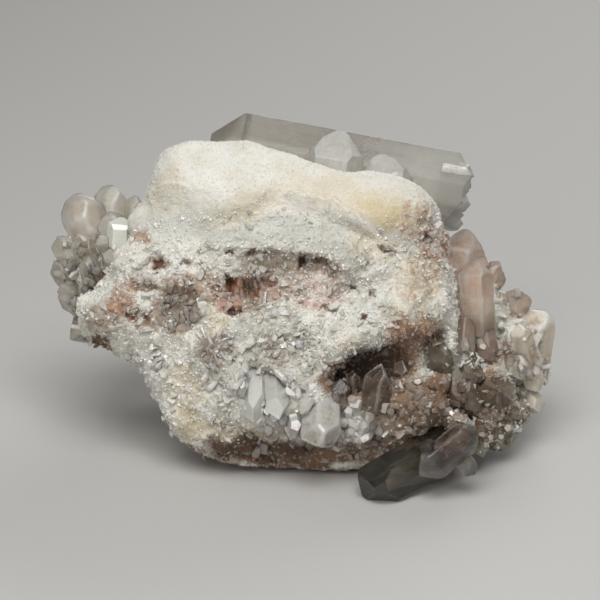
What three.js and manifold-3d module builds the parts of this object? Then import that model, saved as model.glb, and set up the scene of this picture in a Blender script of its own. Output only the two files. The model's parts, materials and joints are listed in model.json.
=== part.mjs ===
// A quartz cluster: a milky, sugary lump of massive quartz (the matrix) with clear quartz crystals
// grown on its sides, in its hollow and all over its rear. Millimetres, +Z up, resting on z = 0.
//
// The broken front of the matrix leans back. Every place is given in that leaning frame, as
// [x, h, d]: x to the right, h up along the front, d straight into the lump (negative: nearer).
import * as THREE from "three";
import { ConvexGeometry } from "three/addons/geometries/ConvexGeometry.js";
import { ImprovedNoise } from "three/addons/math/ImprovedNoise.js";
import { mergeVertices } from "three/addons/utils/BufferGeometryUtils.js";
import Module from "manifold-3d";

// ---- driving dimensions ----
const LEAN = THREE.MathUtils.degToRad(22); // how far the front leans back
const FRAME_HEIGHT = 35.2; // height of the leaning frame's origin above the ground
const CLEARANCE = 0.3; // gap kept between neighbouring solids
const ROCK_DETAIL = 7; // subdivision of the ball that the matrix is shaped from
const ROCK_CENTRE = [-2, -1]; // x, h of the point that the matrix outline is drawn round
const FRONT_SHARE = 0.42; // moves the ball's equator back, so that the front gets the finer mesh
const FRONT_BULGE = 16; // how far the front stands out from the outline
const REAR_BULGE = 27; // how far the rear stands out
const FRONT_POWER = 2.6; // roundness of the front and of the rear: 2 is an ellipse, more is boxier
const REAR_POWER = 2.3;
const HEEL = { top: -4, bottom: -30, depth: 15 }; // the rear stands out further low down, by depth
const LUMP = { size: 12, height: 1.5 }; // uneven ground of the matrix: broad lumps
const KNOB = { size: 5, height: 0.7 }; // and the smaller knobs on them
const SMALL_CRYSTAL = 7; // narrower crystals end in three faces instead of six
const QUARTZ_SLOPE = THREE.MathUtils.degToRad(51.8); // c axis to the normal of a rhombohedral face

// Outline of the matrix seen square to its front, clockwise from the upper left.
const ROCK_RIM = [
  [-33.8, 30, -3], [-34.6, 23, -1], [-38.4, 15, 0], [-42.5, 8, 1], [-48.5, 0.5, 3],
  [-51, -4, 4], [-49.5, -8.6, 4], [-43, -11.4, 2], [-37.5, -14, 0], [-32.2, -22.5, -1],
  [-27, -31, -1], [-17.2, -36.8, -1], [-4, -38.6, -1], [11.5, -38, -1], [23, -38.4, -3],
  [32, -36, -3], [37, -29, 0], [38, -20, 3], [37, -9, 5], [35.4, 1, 5],
  [33.6, 11, 4], [32.2, 19.6, 0], [29.5, 25, -3], [24.5, 28.7, -4], [14, 28.6, -4],
  [5.5, 29.7, -4], [-4.5, 34.2, -4], [-12, 35.9, -4], [-21, 35.5, -4], [-27.5, 36.2, -4],
  [-32, 34, -4],
];

// Relief of the front: lumps (rise > 0, towards the viewer) and hollows (rise < 0). Each is an ellipse
// at x, h with half-widths rx, rh, turned anticlockwise in degrees; edge is how much of it is slope.
const FRONT_RELIEF = [
  { x: -14, h: 27, rx: 24, rh: 11, turn: -4, rise: 1.6, edge: 0.8 }, // smooth cap, left
  { x: 16, h: 22, rx: 20, rh: 7, turn: -8, rise: 2.6, edge: 0.5 }, // cap, right shoulder
  { x: -10, h: 20, rx: 13, rh: 4.5, turn: 24, rise: -1.8, edge: 0.9 }, // trough across the cap
  { x: 15, h: 14, rx: 13, rh: 3.2, turn: -20, rise: -1.8, edge: 0.8 }, // step below the shoulder
  { x: 2, h: 15, rx: 15, rh: 4, turn: -18, rise: 1.5, edge: 0.8 }, // white bank
  { x: -2, h: 3, rx: 27, rh: 7, turn: -4, rise: -2.6, edge: 0.6 }, // pitted band
  { x: -27, h: -3, rx: 9, rh: 6, turn: 0, rise: -2.2, edge: 0.7 }, // smoky patch, left
  { x: 20, h: -5, rx: 14, rh: 6, turn: 18, rise: 3.6, edge: 0.6 }, // roof over the hollow
  { x: -8, h: -22, rx: 19, rh: 11, turn: 0, rise: 2.6, edge: 0.9 }, // belly
  { x: 5, h: -34, rx: 30, rh: 6, turn: 0, rise: -2, edge: 0.9 }, // undercut foot
  { x: 27, h: -27, rx: 13, rh: 9, turn: 0, rise: 2, edge: 0.9 }, // brown ground below the hollow
  { x: 31, h: 19, rx: 6, rh: 8, turn: 0, rise: 1.5, edge: 0.8 }, // iron-stained corner
];

// Hollows with an overhanging rim, cut out of the front: centre, half-sizes and turn in degrees.
const HOLLOWS = [
  { centre: [18.5, -14.5, -14], size: [13.5, 6, 10.5], turn: 17, detail: 2, seed: 4 }, // the crystal-lined hollow
  { centre: [31, -11, -9], size: [4, 7, 8], turn: -14, seed: 9 }, // cleft at its right end
  { centre: [-32.5, 8, -11], size: [1.7, 1.6, 3], turn: 0, seed: 2 }, // pits of the front
  { centre: [-15.8, 3.6, -16], size: [1.8, 2.6, 3.4], turn: 8, seed: 5 },
  { centre: [3, 8, -15], size: [4.2, 2, 3], turn: -12, seed: 7 },
];

// ---- helpers ----
const wasm = await Module();
wasm.setup();
const noise = new ImprovedNoise();
const cosLean = Math.cos(LEAN);
const sinLean = Math.sin(LEAN);

// A point of the leaning frame in the part's own upright frame.
function at([x, h, d]) {
  return new THREE.Vector3(x, d * cosLean + h * sinLean, FRAME_HEIGHT + h * cosLean - d * sinLean);
}

// A repeatable number from -1 to 1, for growth that is never quite regular.
function quirk(seed, index) {
  const s = Math.sin(seed * 127.1 + index * 311.7 + 17.3) * 43758.5453;
  return 2 * (s - Math.floor(s)) - 1;
}

function bareSphere(detail) {
  const ball = new THREE.IcosahedronGeometry(1, detail);
  ball.deleteAttribute("normal");
  ball.deleteAttribute("uv");
  return mergeVertices(ball, 1e-5);
}

function solidOf(geometry) {
  geometry.deleteAttribute("normal");
  geometry.deleteAttribute("uv");
  const merged = mergeVertices(geometry, 1e-4);
  const vertProperties = merged.attributes.position.array;
  const triVerts = new Uint32Array(merged.index.array);
  return new wasm.Manifold(new wasm.Mesh({ numProp: 3, vertProperties, triVerts }));
}

function geometryOf(solid) {
  const mesh = solid.getMesh();
  const geometry = new THREE.BufferGeometry();
  geometry.setAttribute("position", new THREE.BufferAttribute(mesh.vertProperties, 3));
  geometry.setIndex(new THREE.BufferAttribute(mesh.triVerts, 1));
  const faceted = geometry.toNonIndexed();
  faceted.computeVertexNormals();
  return faceted;
}

const joined = (solids) => solids.reduce((all, one) => all.add(one));

// The one body of a cut solid that holds most of it.
function mainBody(solid) {
  return solid.decompose().reduce((best, one) => (one.volume() > best.volume() ? one : best));
}

// ---- the matrix ----
const rimCurve = new THREE.CatmullRomCurve3(
  ROCK_RIM.map(([x, h, d]) => new THREE.Vector3(x, h, d)), true, "centripetal");
const rimByAngle = rimCurve.getPoints(720).slice(1).map((p) => {
  const [x, h] = [p.x - ROCK_CENTRE[0], p.y - ROCK_CENTRE[1]];
  return { angle: Math.atan2(h, x), radius: Math.hypot(x, h), d: p.z };
}).sort((a, b) => a.angle - b.angle);

// Radius and depth of the matrix outline in the direction of an angle.
function rimAt(angle) {
  const after = rimByAngle.findIndex((r) => r.angle > angle);
  const b = rimByAngle[after < 0 ? 0 : after];
  const a = rimByAngle[(after <= 0 ? rimByAngle.length : after) - 1];
  const turn = 2 * Math.PI;
  const span = (b.angle - a.angle + turn) % turn;
  const t = span ? ((angle - a.angle + turn) % turn) / span : 0;
  return {
    radius: THREE.MathUtils.lerp(a.radius, b.radius, t),
    d: THREE.MathUtils.lerp(a.d, b.d, t),
  };
}

function frontRelief(x, h) {
  return FRONT_RELIEF.reduce((sum, r) => {
    const turn = THREE.MathUtils.degToRad(r.turn);
    const [dx, dh] = [x - r.x, h - r.h];
    const along = (dx * Math.cos(turn) + dh * Math.sin(turn)) / r.rx;
    const across = (-dx * Math.sin(turn) + dh * Math.cos(turn)) / r.rh;
    const inside = 1 - THREE.MathUtils.smoothstep(Math.hypot(along, across), 1 - r.edge, 1);
    return sum + r.rise * inside;
  }, 0);
}

const heel = (h) => HEEL.depth * (1 - THREE.MathUtils.smoothstep(h, HEEL.bottom, HEEL.top));

// Moves every vertex out along its own normal by reach(vertex).
function pushOut(skin, reach) {
  skin.computeVertexNormals();
  const place = skin.attributes.position;
  const normal = skin.attributes.normal;
  const [p, n] = [new THREE.Vector3(), new THREE.Vector3()];
  for (let i = 0; i < place.count; i++) {
    p.fromBufferAttribute(place, i);
    n.fromBufferAttribute(normal, i);
    p.addScaledVector(n, reach(p));
    place.setXYZ(i, p.x, p.y, p.z);
  }
}

const roughness = ({ size, height }, p) => height * noise.noise(p.x / size + 5, p.y / size, p.z / size + 3);

// The lump itself: a ball whose equator is stretched to the outline, bulging to the front and rear.
function rockSkin() {
  const skin = bareSphere(ROCK_DETAIL);
  const place = skin.attributes.position;
  for (let i = 0; i < place.count; i++) {
    const side = place.getY(i) - FRONT_SHARE; // below 0 is the front
    const front = side < 0;
    const inward = Math.abs(side) / (front ? 1 + FRONT_SHARE : 1 - FRONT_SHARE);
    const angle = Math.atan2(place.getZ(i), place.getX(i));
    const spread = Math.sqrt(1 - inward ** 1.3);
    const rim = rimAt(angle);
    const x = ROCK_CENTRE[0] + spread * rim.radius * Math.cos(angle);
    const h = ROCK_CENTRE[1] + spread * rim.radius * Math.sin(angle);
    const power = front ? FRONT_POWER : REAR_POWER;
    const bulge = (1 - spread ** power) ** (1 / power);
    const depth = front ? -FRONT_BULGE - frontRelief(x, h) : REAR_BULGE + heel(h);
    const p = at([x, h, rim.d * (1 - bulge) + depth * bulge]);
    place.setXYZ(i, p.x, p.y, p.z);
  }
  pushOut(skin, (p) => roughness(LUMP, p) + roughness(KNOB, p));
  return solidOf(skin);
}

// A rounded, uneven mound or, where it is cut out, a hollow.
function moundSolid({ centre, size, turn = 0, detail = 1, seed = 1 }, swell) {
  const skin = bareSphere(detail);
  const place = skin.attributes.position;
  const angle = THREE.MathUtils.degToRad(turn);
  for (let i = 0; i < place.count; i++) {
    const n = new THREE.Vector3().fromBufferAttribute(place, i);
    const lump = 1 + 0.3 * noise.noise(n.x * 1.7 + seed, n.y * 1.7, n.z * 1.7);
    const [u, v, w] = [n.x, n.z, n.y].map((c, axis) => c * (size[axis] * lump + swell));
    const x = centre[0] + u * Math.cos(angle) - v * Math.sin(angle);
    const h = centre[1] + u * Math.sin(angle) + v * Math.cos(angle);
    const p = at([x, h, centre[2] + w]);
    place.setXYZ(i, p.x, p.y, p.z);
  }
  return solidOf(skin);
}

// ---- crystals ----
// Corners of the solid that lies behind every plane n . p <= reach.
function cornersOf(planes) {
  const corners = new Map();
  const solve = new THREE.Matrix3();
  for (let i = 0; i < planes.length; i++)
    for (let j = i + 1; j < planes.length; j++)
      for (let k = j + 1; k < planes.length; k++) {
        const [a, b, c] = [planes[i], planes[j], planes[k]];
        solve.set(a.n.x, a.n.y, a.n.z, b.n.x, b.n.y, b.n.z, c.n.x, c.n.y, c.n.z);
        if (Math.abs(solve.determinant()) < 1e-4) continue;
        const p = new THREE.Vector3(a.reach, b.reach, c.reach).applyMatrix3(solve.invert());
        if (planes.some((q) => q.n.dot(p) > q.reach + 1e-5)) continue;
        corners.set(p.toArray().map((v) => v.toFixed(3)).join(), p);
      }
  return [...corners.values()];
}

// One quartz crystal: six prism faces round the line from root to tip, closed at the tip by six
// rhombohedral faces, three of them larger, or by the three alone on a small crystal. width is
// across the flats and flat squashes it; spin turns it about its length in degrees; blunt takes
// that much off its point; doubled gives the root end a point as well.
function crystalSolid(crystal, swell) {
  const { root, tip, width, flat = 1, spin = 0, blunt = 0, doubled = false } = crystal;
  const seed = crystal.seed ?? root[0] * 3 + tip[1];
  const [foot, head] = [at(root), at(tip)];
  const length = foot.distanceTo(head);
  const planes = [{ n: new THREE.Vector3(0, 0, -1), reach: 0 }];
  if (blunt) planes.push({ n: new THREE.Vector3(0, 0, 1), reach: length - blunt });
  for (let k = 0; k < 6; k++) {
    const angle = (k * Math.PI) / 3;
    const [c, s] = [Math.cos(angle), Math.sin(angle)];
    const reach = (width / 2) * Math.hypot(c, flat * s) * (1 + 0.12 * quirk(seed, k));
    planes.push({ n: new THREE.Vector3(c, s, 0), reach });
    if (k % 2 && width < SMALL_CRYSTAL) continue;
    const [across, up] = [Math.sin(QUARTZ_SLOPE), Math.cos(QUARTZ_SLOPE)];
    const set = width * ((k % 2 ? 0.1 : 0) + 0.05 * quirk(seed, k + 10));
    planes.push({ n: new THREE.Vector3(across * c, across * s, up), reach: length * up + set });
    if (doubled) planes.push({ n: new THREE.Vector3(across * c, across * s, -up), reach: set });
  }
  for (const plane of planes) plane.reach += swell;
  const geometry = new ConvexGeometry(cornersOf(planes));
  geometry.rotateZ(THREE.MathUtils.degToRad(spin));
  const axis = head.clone().sub(foot).normalize();
  geometry.applyQuaternion(new THREE.Quaternion().setFromUnitVectors(new THREE.Vector3(0, 0, 1), axis));
  geometry.translate(foot.x, foot.y, foot.z);
  return solidOf(geometry);
}

// ---- the pieces, in the order in which they take their room; the matrix fills what is left ----
const MILKY = { color: 0xe6e1d6, roughness: 0.8, metalness: 0 };
const CLEAR = { color: 0xd9dcda, roughness: 0.08, metalness: 0, transparent: true, opacity: 0.45 };
const ROSY = { color: 0xd9c3ba, roughness: 0.15, metalness: 0, transparent: true, opacity: 0.6 };
const SMOKY = { color: 0xa9a7a0, roughness: 0.12, metalness: 0, transparent: true, opacity: 0.5 };

// Milky points grown on the lower front, fused with the matrix.
const FACE_POINTS = [
  { root: [-14, -11.5, -13], tip: [-15, -21, -19.5], width: 3.8, flat: 0.7 },
  { root: [-21, -19.5, -11], tip: [-23.5, -9, -16.5], width: 3.2, spin: 20 },
  { root: [-20, -20, -11], tip: [-20.5, -8, -18], width: 3.4 },
  { root: [-19, -19.5, -12], tip: [-17.5, -9.5, -17.5], width: 3, spin: 40 },
  { root: [10, -27, -11], tip: [15.5, -33, -16], width: 3.6 },
  { root: [25, -24, -10], tip: [28.5, -22, -17], width: 4.4, spin: 15 },
  { root: [33, -29, -6], tip: [37.5, -27.5, -13.5], width: 4.6 },
];

const PIECES = [
  { name: "large_prism", look: CLEAR, crystals: [
    { root: [43, 25, 36], tip: [-23.5, 37.6, 38], width: 18.6, flat: 0.92, spin: 96, blunt: 1.5, seed: 3 },
  ] },
  { name: "bottom_prism", look: SMOKY, crystals: [
    { root: [33.5, -33, -6], tip: [13, -43.4, -20.5], width: 11.4, flat: 0.9, spin: 20, blunt: 2.6, seed: 5 },
  ] },
  { name: "face_point_left", look: CLEAR, crystals: [
    { root: [-10.5, -15, -13.5], tip: [-10.5, -27.4, -20.5], width: 4.8, flat: 0.7 },
  ] },
  { name: "face_point_middle", look: CLEAR, crystals: [
    { root: [-5.8, -17, -13.5], tip: [-5, -27, -20.5], width: 4.6 },
  ] },
  { name: "face_point_large", look: CLEAR, crystals: [
    { root: [5, -20, -9], tip: [4.6, -33.5, -21], width: 9.6, flat: 0.6, spin: 10, blunt: 0.8 },
  ] },
  { name: "hooded_crystal", look: CLEAR, crystals: [
    { root: [26.5, -39.2, -20], tip: [39.8, -28.2, -18], width: 7.2, spin: 25, blunt: 0.7 },
    { root: [35, -34, -16], tip: [39.4, -39.4, -18.5], width: 3.8, doubled: true },
    { root: [29, -34, -13], tip: [28.6, -32.6, -22.5], width: 3.4 },
  ] },
  { name: "hollow_crust", look: CLEAR, crystals: [
    { root: [17.5, -22, -7], tip: [18.5, -13.8, -12], width: 5.2, spin: 12 },
    { root: [12.5, -22, -6], tip: [10, -15.8, -10.5], width: 3.6 },
    { root: [14, -22, -9], tip: [12.5, -17, -14], width: 3.2 },
    { root: [22.5, -20, -6], tip: [23.5, -13.5, -9.5], width: 4 },
  ], mounds: [
    { centre: [18, -21.5, -8], size: [11, 2.6, 6], turn: 14, seed: 3 },
  ] },
  { name: "left_cluster", look: CLEAR, crystals: [
    { root: [-45.5, 8, 15], tip: [-54.8, 26.6, 12], width: 8.8, spin: 20, blunt: 0.8 },
    { root: [-44, 12, 17], tip: [-46, 28.6, 14], width: 6.6 },
    { root: [-39, 13, 14], tip: [-39.6, 25.4, 9], width: 3.6 },
    { root: [-39.5, 8, 13], tip: [-46.5, 20.5, 3], width: 7.6, spin: 22, blunt: 1 },
    { root: [-49, 1, 15], tip: [-57, 16, 6], width: 5, spin: 10 },
    { root: [-49.5, 0, 13], tip: [-58, 10, 9], width: 5.5 },
    { root: [-47, 3, 11], tip: [-51.5, 15.2, 3], width: 4.2, spin: 40 },
    { root: [-47.5, -2, 8], tip: [-49.8, 9.5, -0.5], width: 4.2 },
    { root: [-46.5, 0, 15], tip: [-56.8, 0.5, 10], width: 6.5 },
    { root: [-44, -3, 13], tip: [-53.6, -9, 8], width: 7 },
  ], mounds: [
    { centre: [-45, 5, 14], size: [8, 11, 8], turn: 15, seed: 6 },
  ] },
  { name: "right_cluster", look: ROSY, crystals: [
    { root: [37, 0, 19], tip: [39.2, 17.6, 18], width: 8.6, spin: 15, blunt: 0.8 },
    { root: [40, -2, 14], tip: [43.6, 10.4, 12], width: 4.6 },
    { root: [41, -2, 13], tip: [46.6, 9.4, 12], width: 4 },
    { root: [41, -3, 12], tip: [47.6, 6.8, 10], width: 3.6, spin: 30 },
    { root: [41, -5, 10], tip: [48.4, 1.4, 8], width: 4 },
    { root: [41.6, -13, 3], tip: [40.4, 10, 0.5], width: 7.4, spin: 8, blunt: 0.6 },
    { root: [38.5, -5, 1], tip: [37.6, -15.4, -4], width: 4.6 },
    { root: [42, -5, 3], tip: [43.6, -14.2, -2.5], width: 4.6, spin: 20 },
    { root: [41, -4, 14], tip: [54.4, 0.2, 10], width: 5.8, blunt: 0.5 },
  ], mounds: [
    { centre: [42, -5, 12], size: [7, 9, 9], turn: -12, seed: 8 },
  ] },
  { name: "right_block", look: MILKY, crystals: [
    { root: [53.6, -19, 13], tip: [56, -0.4, 10], width: 8.6, flat: 0.85, spin: 12, blunt: 2 },
    { root: [53, -15, 4], tip: [50, -5.4, -1.5], width: 4.8, flat: 0.7, spin: 15 },
    { root: [49, -10, 6], tip: [51, -18.8, 0], width: 5 },
    { root: [53, -13, 8], tip: [54.6, -21.2, 2], width: 4.6, spin: 30 },
    { root: [50.5, -18, 9], tip: [55.6, -26.2, 5], width: 4.4 },
  ], mounds: [
    { centre: [49.5, -13, 10], size: [6.5, 8, 7], turn: 0, seed: 2 },
  ] },
  { name: "lower_right_cluster", look: SMOKY, crystals: [
    { root: [37.5, -14, 0], tip: [36.4, -27.6, -9], width: 8, spin: 28, blunt: 1.4 },
    { root: [33.5, -20, -2], tip: [31.6, -9.6, -7.5], width: 5.8, blunt: 0.8 },
    { root: [45.5, -26, 2], tip: [42, -19, -7.5], width: 5.8, spin: 20 },
    { root: [44, -23, 6], tip: [53.4, -29.6, 1], width: 7.4, blunt: 0.8 },
    { root: [41.5, -25, 5], tip: [48.6, -34.6, -3], width: 8, spin: 15, blunt: 0.8 },
    { root: [40, -18, 4], tip: [48, -22, -5.5], width: 6.4 },
    { root: [40, -27, 0], tip: [40.5, -35, -9], width: 6 },
  ], mounds: [
    { centre: [42, -23, 3], size: [7, 9, 7.5], turn: -10, seed: 5 },
  ] },
  { name: "upper_rear_cluster", look: CLEAR, crystals: [
    { root: [7, 24, 26], tip: [9.6, 40.8, 24], width: 12, spin: 18, blunt: 0.5 },
    { root: [22, 18, 26], tip: [18.6, 35.4, 24], width: 12.6, spin: 40, blunt: 0.8 },
    { root: [-8, 22, 22], tip: [-17, 35, 24], width: 6.4 },
    { root: [-10, 14, 21], tip: [-17, 19, 36], width: 7.6, spin: 12 },
    { root: [0, 12, 24], tip: [-3, 14, 42], width: 9.2, spin: 35, blunt: 0.6 },
    { root: [18, 12, 21], tip: [26, 13, 35], width: 7.4, spin: 20 },
  ], mounds: [
    { centre: [4, 16, 22], size: [24, 9, 7], turn: -8, seed: 3 },
  ] },
  { name: "left_rear_cluster", look: CLEAR, crystals: [
    { root: [-22, -2, 20], tip: [-38, 2, 46], width: 11, spin: 12, blunt: 0.6 },
    { root: [-30, 6, 18], tip: [-42, 13, 29], width: 7.2, spin: 30 },
    { root: [-32, -6, 17], tip: [-46, -8, 28], width: 6.6, spin: 8 },
    { root: [-25, -10, 22], tip: [-31, -16, 36], width: 7.4, spin: 45 },
  ], mounds: [
    { centre: [-29, -2, 19], size: [12.5, 13, 8], seed: 7 },
  ] },
  { name: "right_rear_cluster", look: CLEAR, crystals: [
    { root: [22, -4, 22], tip: [34, 1, 50], width: 10, spin: 25, blunt: 0.6 },
    { root: [29, 2, 17], tip: [41, 8, 29], width: 7, spin: 15 },
    { root: [31, -11, 17], tip: [43, -15, 30], width: 7.6, spin: 40 },
    { root: [23, -15, 22], tip: [26, -22, 37], width: 6.6 },
  ], mounds: [
    { centre: [27, -8, 18], size: [12, 13, 8], seed: 4 },
  ] },
  { name: "lower_rear_cluster", look: CLEAR, crystals: [
    { root: [-2, -8, 24], tip: [-4, -10, 54], width: 12.5, spin: 5, blunt: 0.8 },
    { root: [6, -6, 27], tip: [12, -3, 46], width: 7.4, spin: 28 },
    { root: [-9, -5, 26], tip: [-17, -3, 43], width: 6.8, spin: 10 },
    { root: [-9, -13, 27], tip: [-14, -19, 42], width: 7, spin: 50 },
  ], mounds: [
    { centre: [-1, -9, 27], size: [16, 9, 7], seed: 9 },
  ] },
];

const underground = solidOf(new THREE.BoxGeometry(300, 300, 60).translate(0, 0, -30));
const cluster = new THREE.Group();
function addPiece(name, solid, look) {
  const material = new THREE.MeshStandardMaterial({ ...look, flatShading: true });
  const mesh = new THREE.Mesh(geometryOf(mainBody(solid.subtract(underground))), material);
  mesh.name = name;
  cluster.add(mesh);
}

let taken = null;
for (const { name, look, crystals, mounds = [] } of PIECES) {
  const grown = (swell) => joined([
    ...mounds.map((m) => moundSolid(m, swell)),
    ...crystals.map((c) => crystalSolid(c, swell)),
  ]);
  addPiece(name, taken ? grown(0).subtract(taken) : grown(0), look);
  taken = taken ? taken.add(grown(CLEARANCE)) : grown(CLEARANCE);
}
const hollows = joined(HOLLOWS.map((h) => moundSolid(h, 0)));
const points = joined(FACE_POINTS.map((c) => crystalSolid(c, 0)));
addPiece("matrix", rockSkin().subtract(hollows).add(points).subtract(taken), MILKY);

// The origin is under the middle of the whole cluster.
const box = new THREE.Box3().setFromObject(cluster);
cluster.position.set(-(box.min.x + box.max.x) / 2, -(box.min.y + box.max.y) / 2, -box.min.z);

export default cluster;
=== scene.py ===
# A quartz cluster: a lump of milky, sugary quartz whose front is broken and leans back, with clear
# crystals grown on its sides, in its hollow and over its rear. Sizes are millimetres in the leaning
# frame of the front, [x, h, d]: x to the right, h up along the front, d straight into the lump.
import json
import math

import bpy
import numpy as np
from mathutils import Euler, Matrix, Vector, noise

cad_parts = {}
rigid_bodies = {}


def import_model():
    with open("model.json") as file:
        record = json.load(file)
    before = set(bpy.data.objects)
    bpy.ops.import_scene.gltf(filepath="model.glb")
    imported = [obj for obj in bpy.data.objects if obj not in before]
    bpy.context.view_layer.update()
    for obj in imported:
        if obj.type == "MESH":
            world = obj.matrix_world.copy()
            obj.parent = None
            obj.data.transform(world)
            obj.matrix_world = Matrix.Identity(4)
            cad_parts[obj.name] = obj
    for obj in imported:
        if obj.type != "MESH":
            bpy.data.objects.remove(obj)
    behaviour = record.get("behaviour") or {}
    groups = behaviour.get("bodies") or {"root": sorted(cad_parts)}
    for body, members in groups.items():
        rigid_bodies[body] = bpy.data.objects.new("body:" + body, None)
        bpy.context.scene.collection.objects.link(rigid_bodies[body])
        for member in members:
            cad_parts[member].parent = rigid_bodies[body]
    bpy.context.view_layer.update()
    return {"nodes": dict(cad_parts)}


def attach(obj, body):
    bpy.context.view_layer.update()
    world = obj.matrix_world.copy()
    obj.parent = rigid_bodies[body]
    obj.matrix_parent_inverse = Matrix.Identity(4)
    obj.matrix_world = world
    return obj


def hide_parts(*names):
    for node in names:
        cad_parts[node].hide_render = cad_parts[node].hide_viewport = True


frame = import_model()
noise.seed_set(3)  # without a seed, its vectors differ from run to run

MM = 0.001
LEAN = math.radians(22)  # how far the front leans back
FRONT_ORIGIN = Vector((-0.42, -10.31, 35.2))  # x, y, z of the leaning frame's origin
QUARTZ_IOR = 1.544
QUARTZ_SLOPE = 51.8  # degrees from a crystal's length to the normal of its end faces
SMALL_CRYSTAL = 7  # narrower crystals end in three faces instead of six
GOLDEN_ANGLE = 2.4  # radians, which spreads turns evenly round a circle


# ---- places ----
def place(x, h, d):
    """A point of the leaning frame in the object's own upright frame, in metres."""
    c, s = math.cos(LEAN), math.sin(LEAN)
    return (FRONT_ORIGIN + Vector((x, d * c + h * s, h * c - d * s))) * MM


def lean_coords(points):
    """x, h and d of many points, the other way round."""
    c, s = math.cos(LEAN), math.sin(LEAN)
    q = points / MM - np.array(FRONT_ORIGIN)
    return q[:, 0], q[:, 1] * s + q[:, 2] * c, q[:, 1] * c - q[:, 2] * s


def quirk(seed, index):
    """A repeatable number from -1 to 1, for growth that is never quite regular."""
    s = math.sin(seed * 127.1 + index * 311.7 + 17.3) * 43758.5453
    return 2 * (s - math.floor(s)) - 1


def smoothstep(value, low, high):
    t = np.clip((value - low) / (high - low), 0, 1)
    return t * t * (3 - 2 * t)


def swell(co, size, shift=(0, 0, 0)):
    """Smooth noise at each point, from -1 to 1, in lumps about this many millimetres wide."""
    return np.array([noise.noise(Vector(p) / (size * MM) + Vector(shift)) for p in co])


def sway(co, size):
    """A smoothly changing vector at each point, in lumps about this many millimetres wide."""
    return np.array([noise.noise_vector(Vector(p) / (size * MM)) for p in co])


def strayed(x, h, co, size, reach):
    """x and h of each point, moved about, so that nothing on the front has an even edge."""
    away = reach * sway(co, size)
    return x + away[:, 0], h + away[:, 1]


# ---- objects ----
def deselect():
    bpy.ops.object.select_all(action="DESELECT")


def pick(obj):
    deselect()
    obj.select_set(True)
    bpy.context.view_layer.objects.active = obj
    return obj


def added(name):
    """The object that an operator has just added, named."""
    obj = bpy.context.object
    obj.name = obj.data.name = name
    return obj


def edit(obj):
    pick(obj)
    bpy.ops.object.mode_set(mode="EDIT")
    bpy.ops.mesh.select_all(action="SELECT")


def edit_kept(obj):
    """Edit mode with the faces that are selected already."""
    pick(obj)
    bpy.ops.object.mode_set(mode="EDIT")
    bpy.ops.mesh.select_mode(type="FACE")


def leave_edit():
    bpy.ops.object.mode_set(mode="OBJECT")


def settle(obj):
    """Puts an object's place, turn and size into its mesh."""
    pick(obj)
    bpy.ops.object.transform_apply(location=True, rotation=True, scale=True)
    return obj


def modify(obj, kind, **values):
    """Adds a modifier with these values and applies it."""
    pick(obj)
    modifier = obj.modifiers.new(kind.title(), kind)
    for key, value in values.items():
        setattr(modifier, key, value)
    bpy.ops.object.modifier_apply(modifier=modifier.name)
    return obj


def join(name, objects):
    deselect()
    for obj in objects:
        obj.select_set(True)
    bpy.context.view_layer.objects.active = objects[0]
    if len(objects) > 1:
        bpy.ops.object.join()
    return added(name)


def copy_of(obj, name):
    twin = bpy.data.objects.new(name, obj.data.copy())
    twin.data.name = name
    bpy.context.scene.collection.objects.link(twin)
    return twin


def coords(obj):
    co = np.empty(len(obj.data.vertices) * 3)
    obj.data.vertices.foreach_get("co", co)
    return co.reshape(-1, 3)


def normals(obj):
    no = np.empty(len(obj.data.vertices) * 3, np.float32)
    obj.data.vertex_normals.foreach_get("vector", no)
    return no.reshape(-1, 3)


def write_mask(obj, name, values):
    layer = obj.data.attributes.new(name, "FLOAT", "POINT")
    layer.data.foreach_set("value", np.ascontiguousarray(values, np.float32))


# ---- camera, floor and light ----
def build_camera():
    DISTANCE, FRAME_WIDTH, SENSOR = 700, 138, 36  # the frame is this wide at this distance
    target = place(0, 0, 0)
    back = Vector((0, -math.cos(LEAN), math.sin(LEAN))) * DISTANCE * MM
    bpy.ops.object.camera_add(location=target + back, rotation=(math.pi / 2 - LEAN, 0, 0))
    camera = bpy.context.object
    camera.data.sensor_width = SENSOR
    camera.data.lens = SENSOR * DISTANCE / FRAME_WIDTH
    camera.data.clip_start = 0.01
    bpy.context.scene.camera = camera


def build_light():
    def softbox(name, power, size, location, aim=(0, 0, 0.03)):
        bpy.ops.object.light_add(type="AREA", location=location)
        lamp = bpy.context.object
        lamp.name = name
        lamp.data.energy = power
        lamp.data.shape = "RECTANGLE"
        lamp.data.size, lamp.data.size_y = size
        lamp.rotation_euler = (Vector(aim) - Vector(location)).to_track_quat("-Z", "Y").to_euler()

    softbox("overhead_softbox", 3.0, (0.5, 0.4), (-0.02, -0.28, 0.56))
    softbox("front_fill", 1.0, (0.5, 0.4), (-0.35, -0.7, 0.3))
    softbox("rear_edge", 1.4, (0.5, 0.25), (0.25, 0.5, 0.4))
    softbox("left_glint", 0.22, (0.03, 0.16), (-0.42, -0.42, 0.4))
    softbox("right_glint", 0.22, (0.03, 0.16), (0.4, -0.5, 0.34))
    softbox("top_glint", 0.2, (0.16, 0.03), (0.08, -0.3, 0.6))
    world = bpy.data.worlds.new("studio")
    bpy.context.scene.world = world
    world.use_nodes = True
    world.node_tree.nodes["Background"].inputs["Color"].default_value = (1, 0.985, 0.96, 1)
    world.node_tree.nodes["Background"].inputs["Strength"].default_value = 0.14
    bpy.context.scene.view_settings.view_transform = "Standard"


def build_floor():
    bpy.ops.mesh.primitive_plane_add(size=8)
    floor = added("floor")
    material = bpy.data.materials.new("pale_floor")
    material.use_nodes = True
    shader = material.node_tree.nodes["Principled BSDF"]
    shader.inputs["Base Color"].default_value = (0.5, 0.49, 0.47, 1)
    shader.inputs["Roughness"].default_value = 0.7
    floor.data.materials.append(material)


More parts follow.
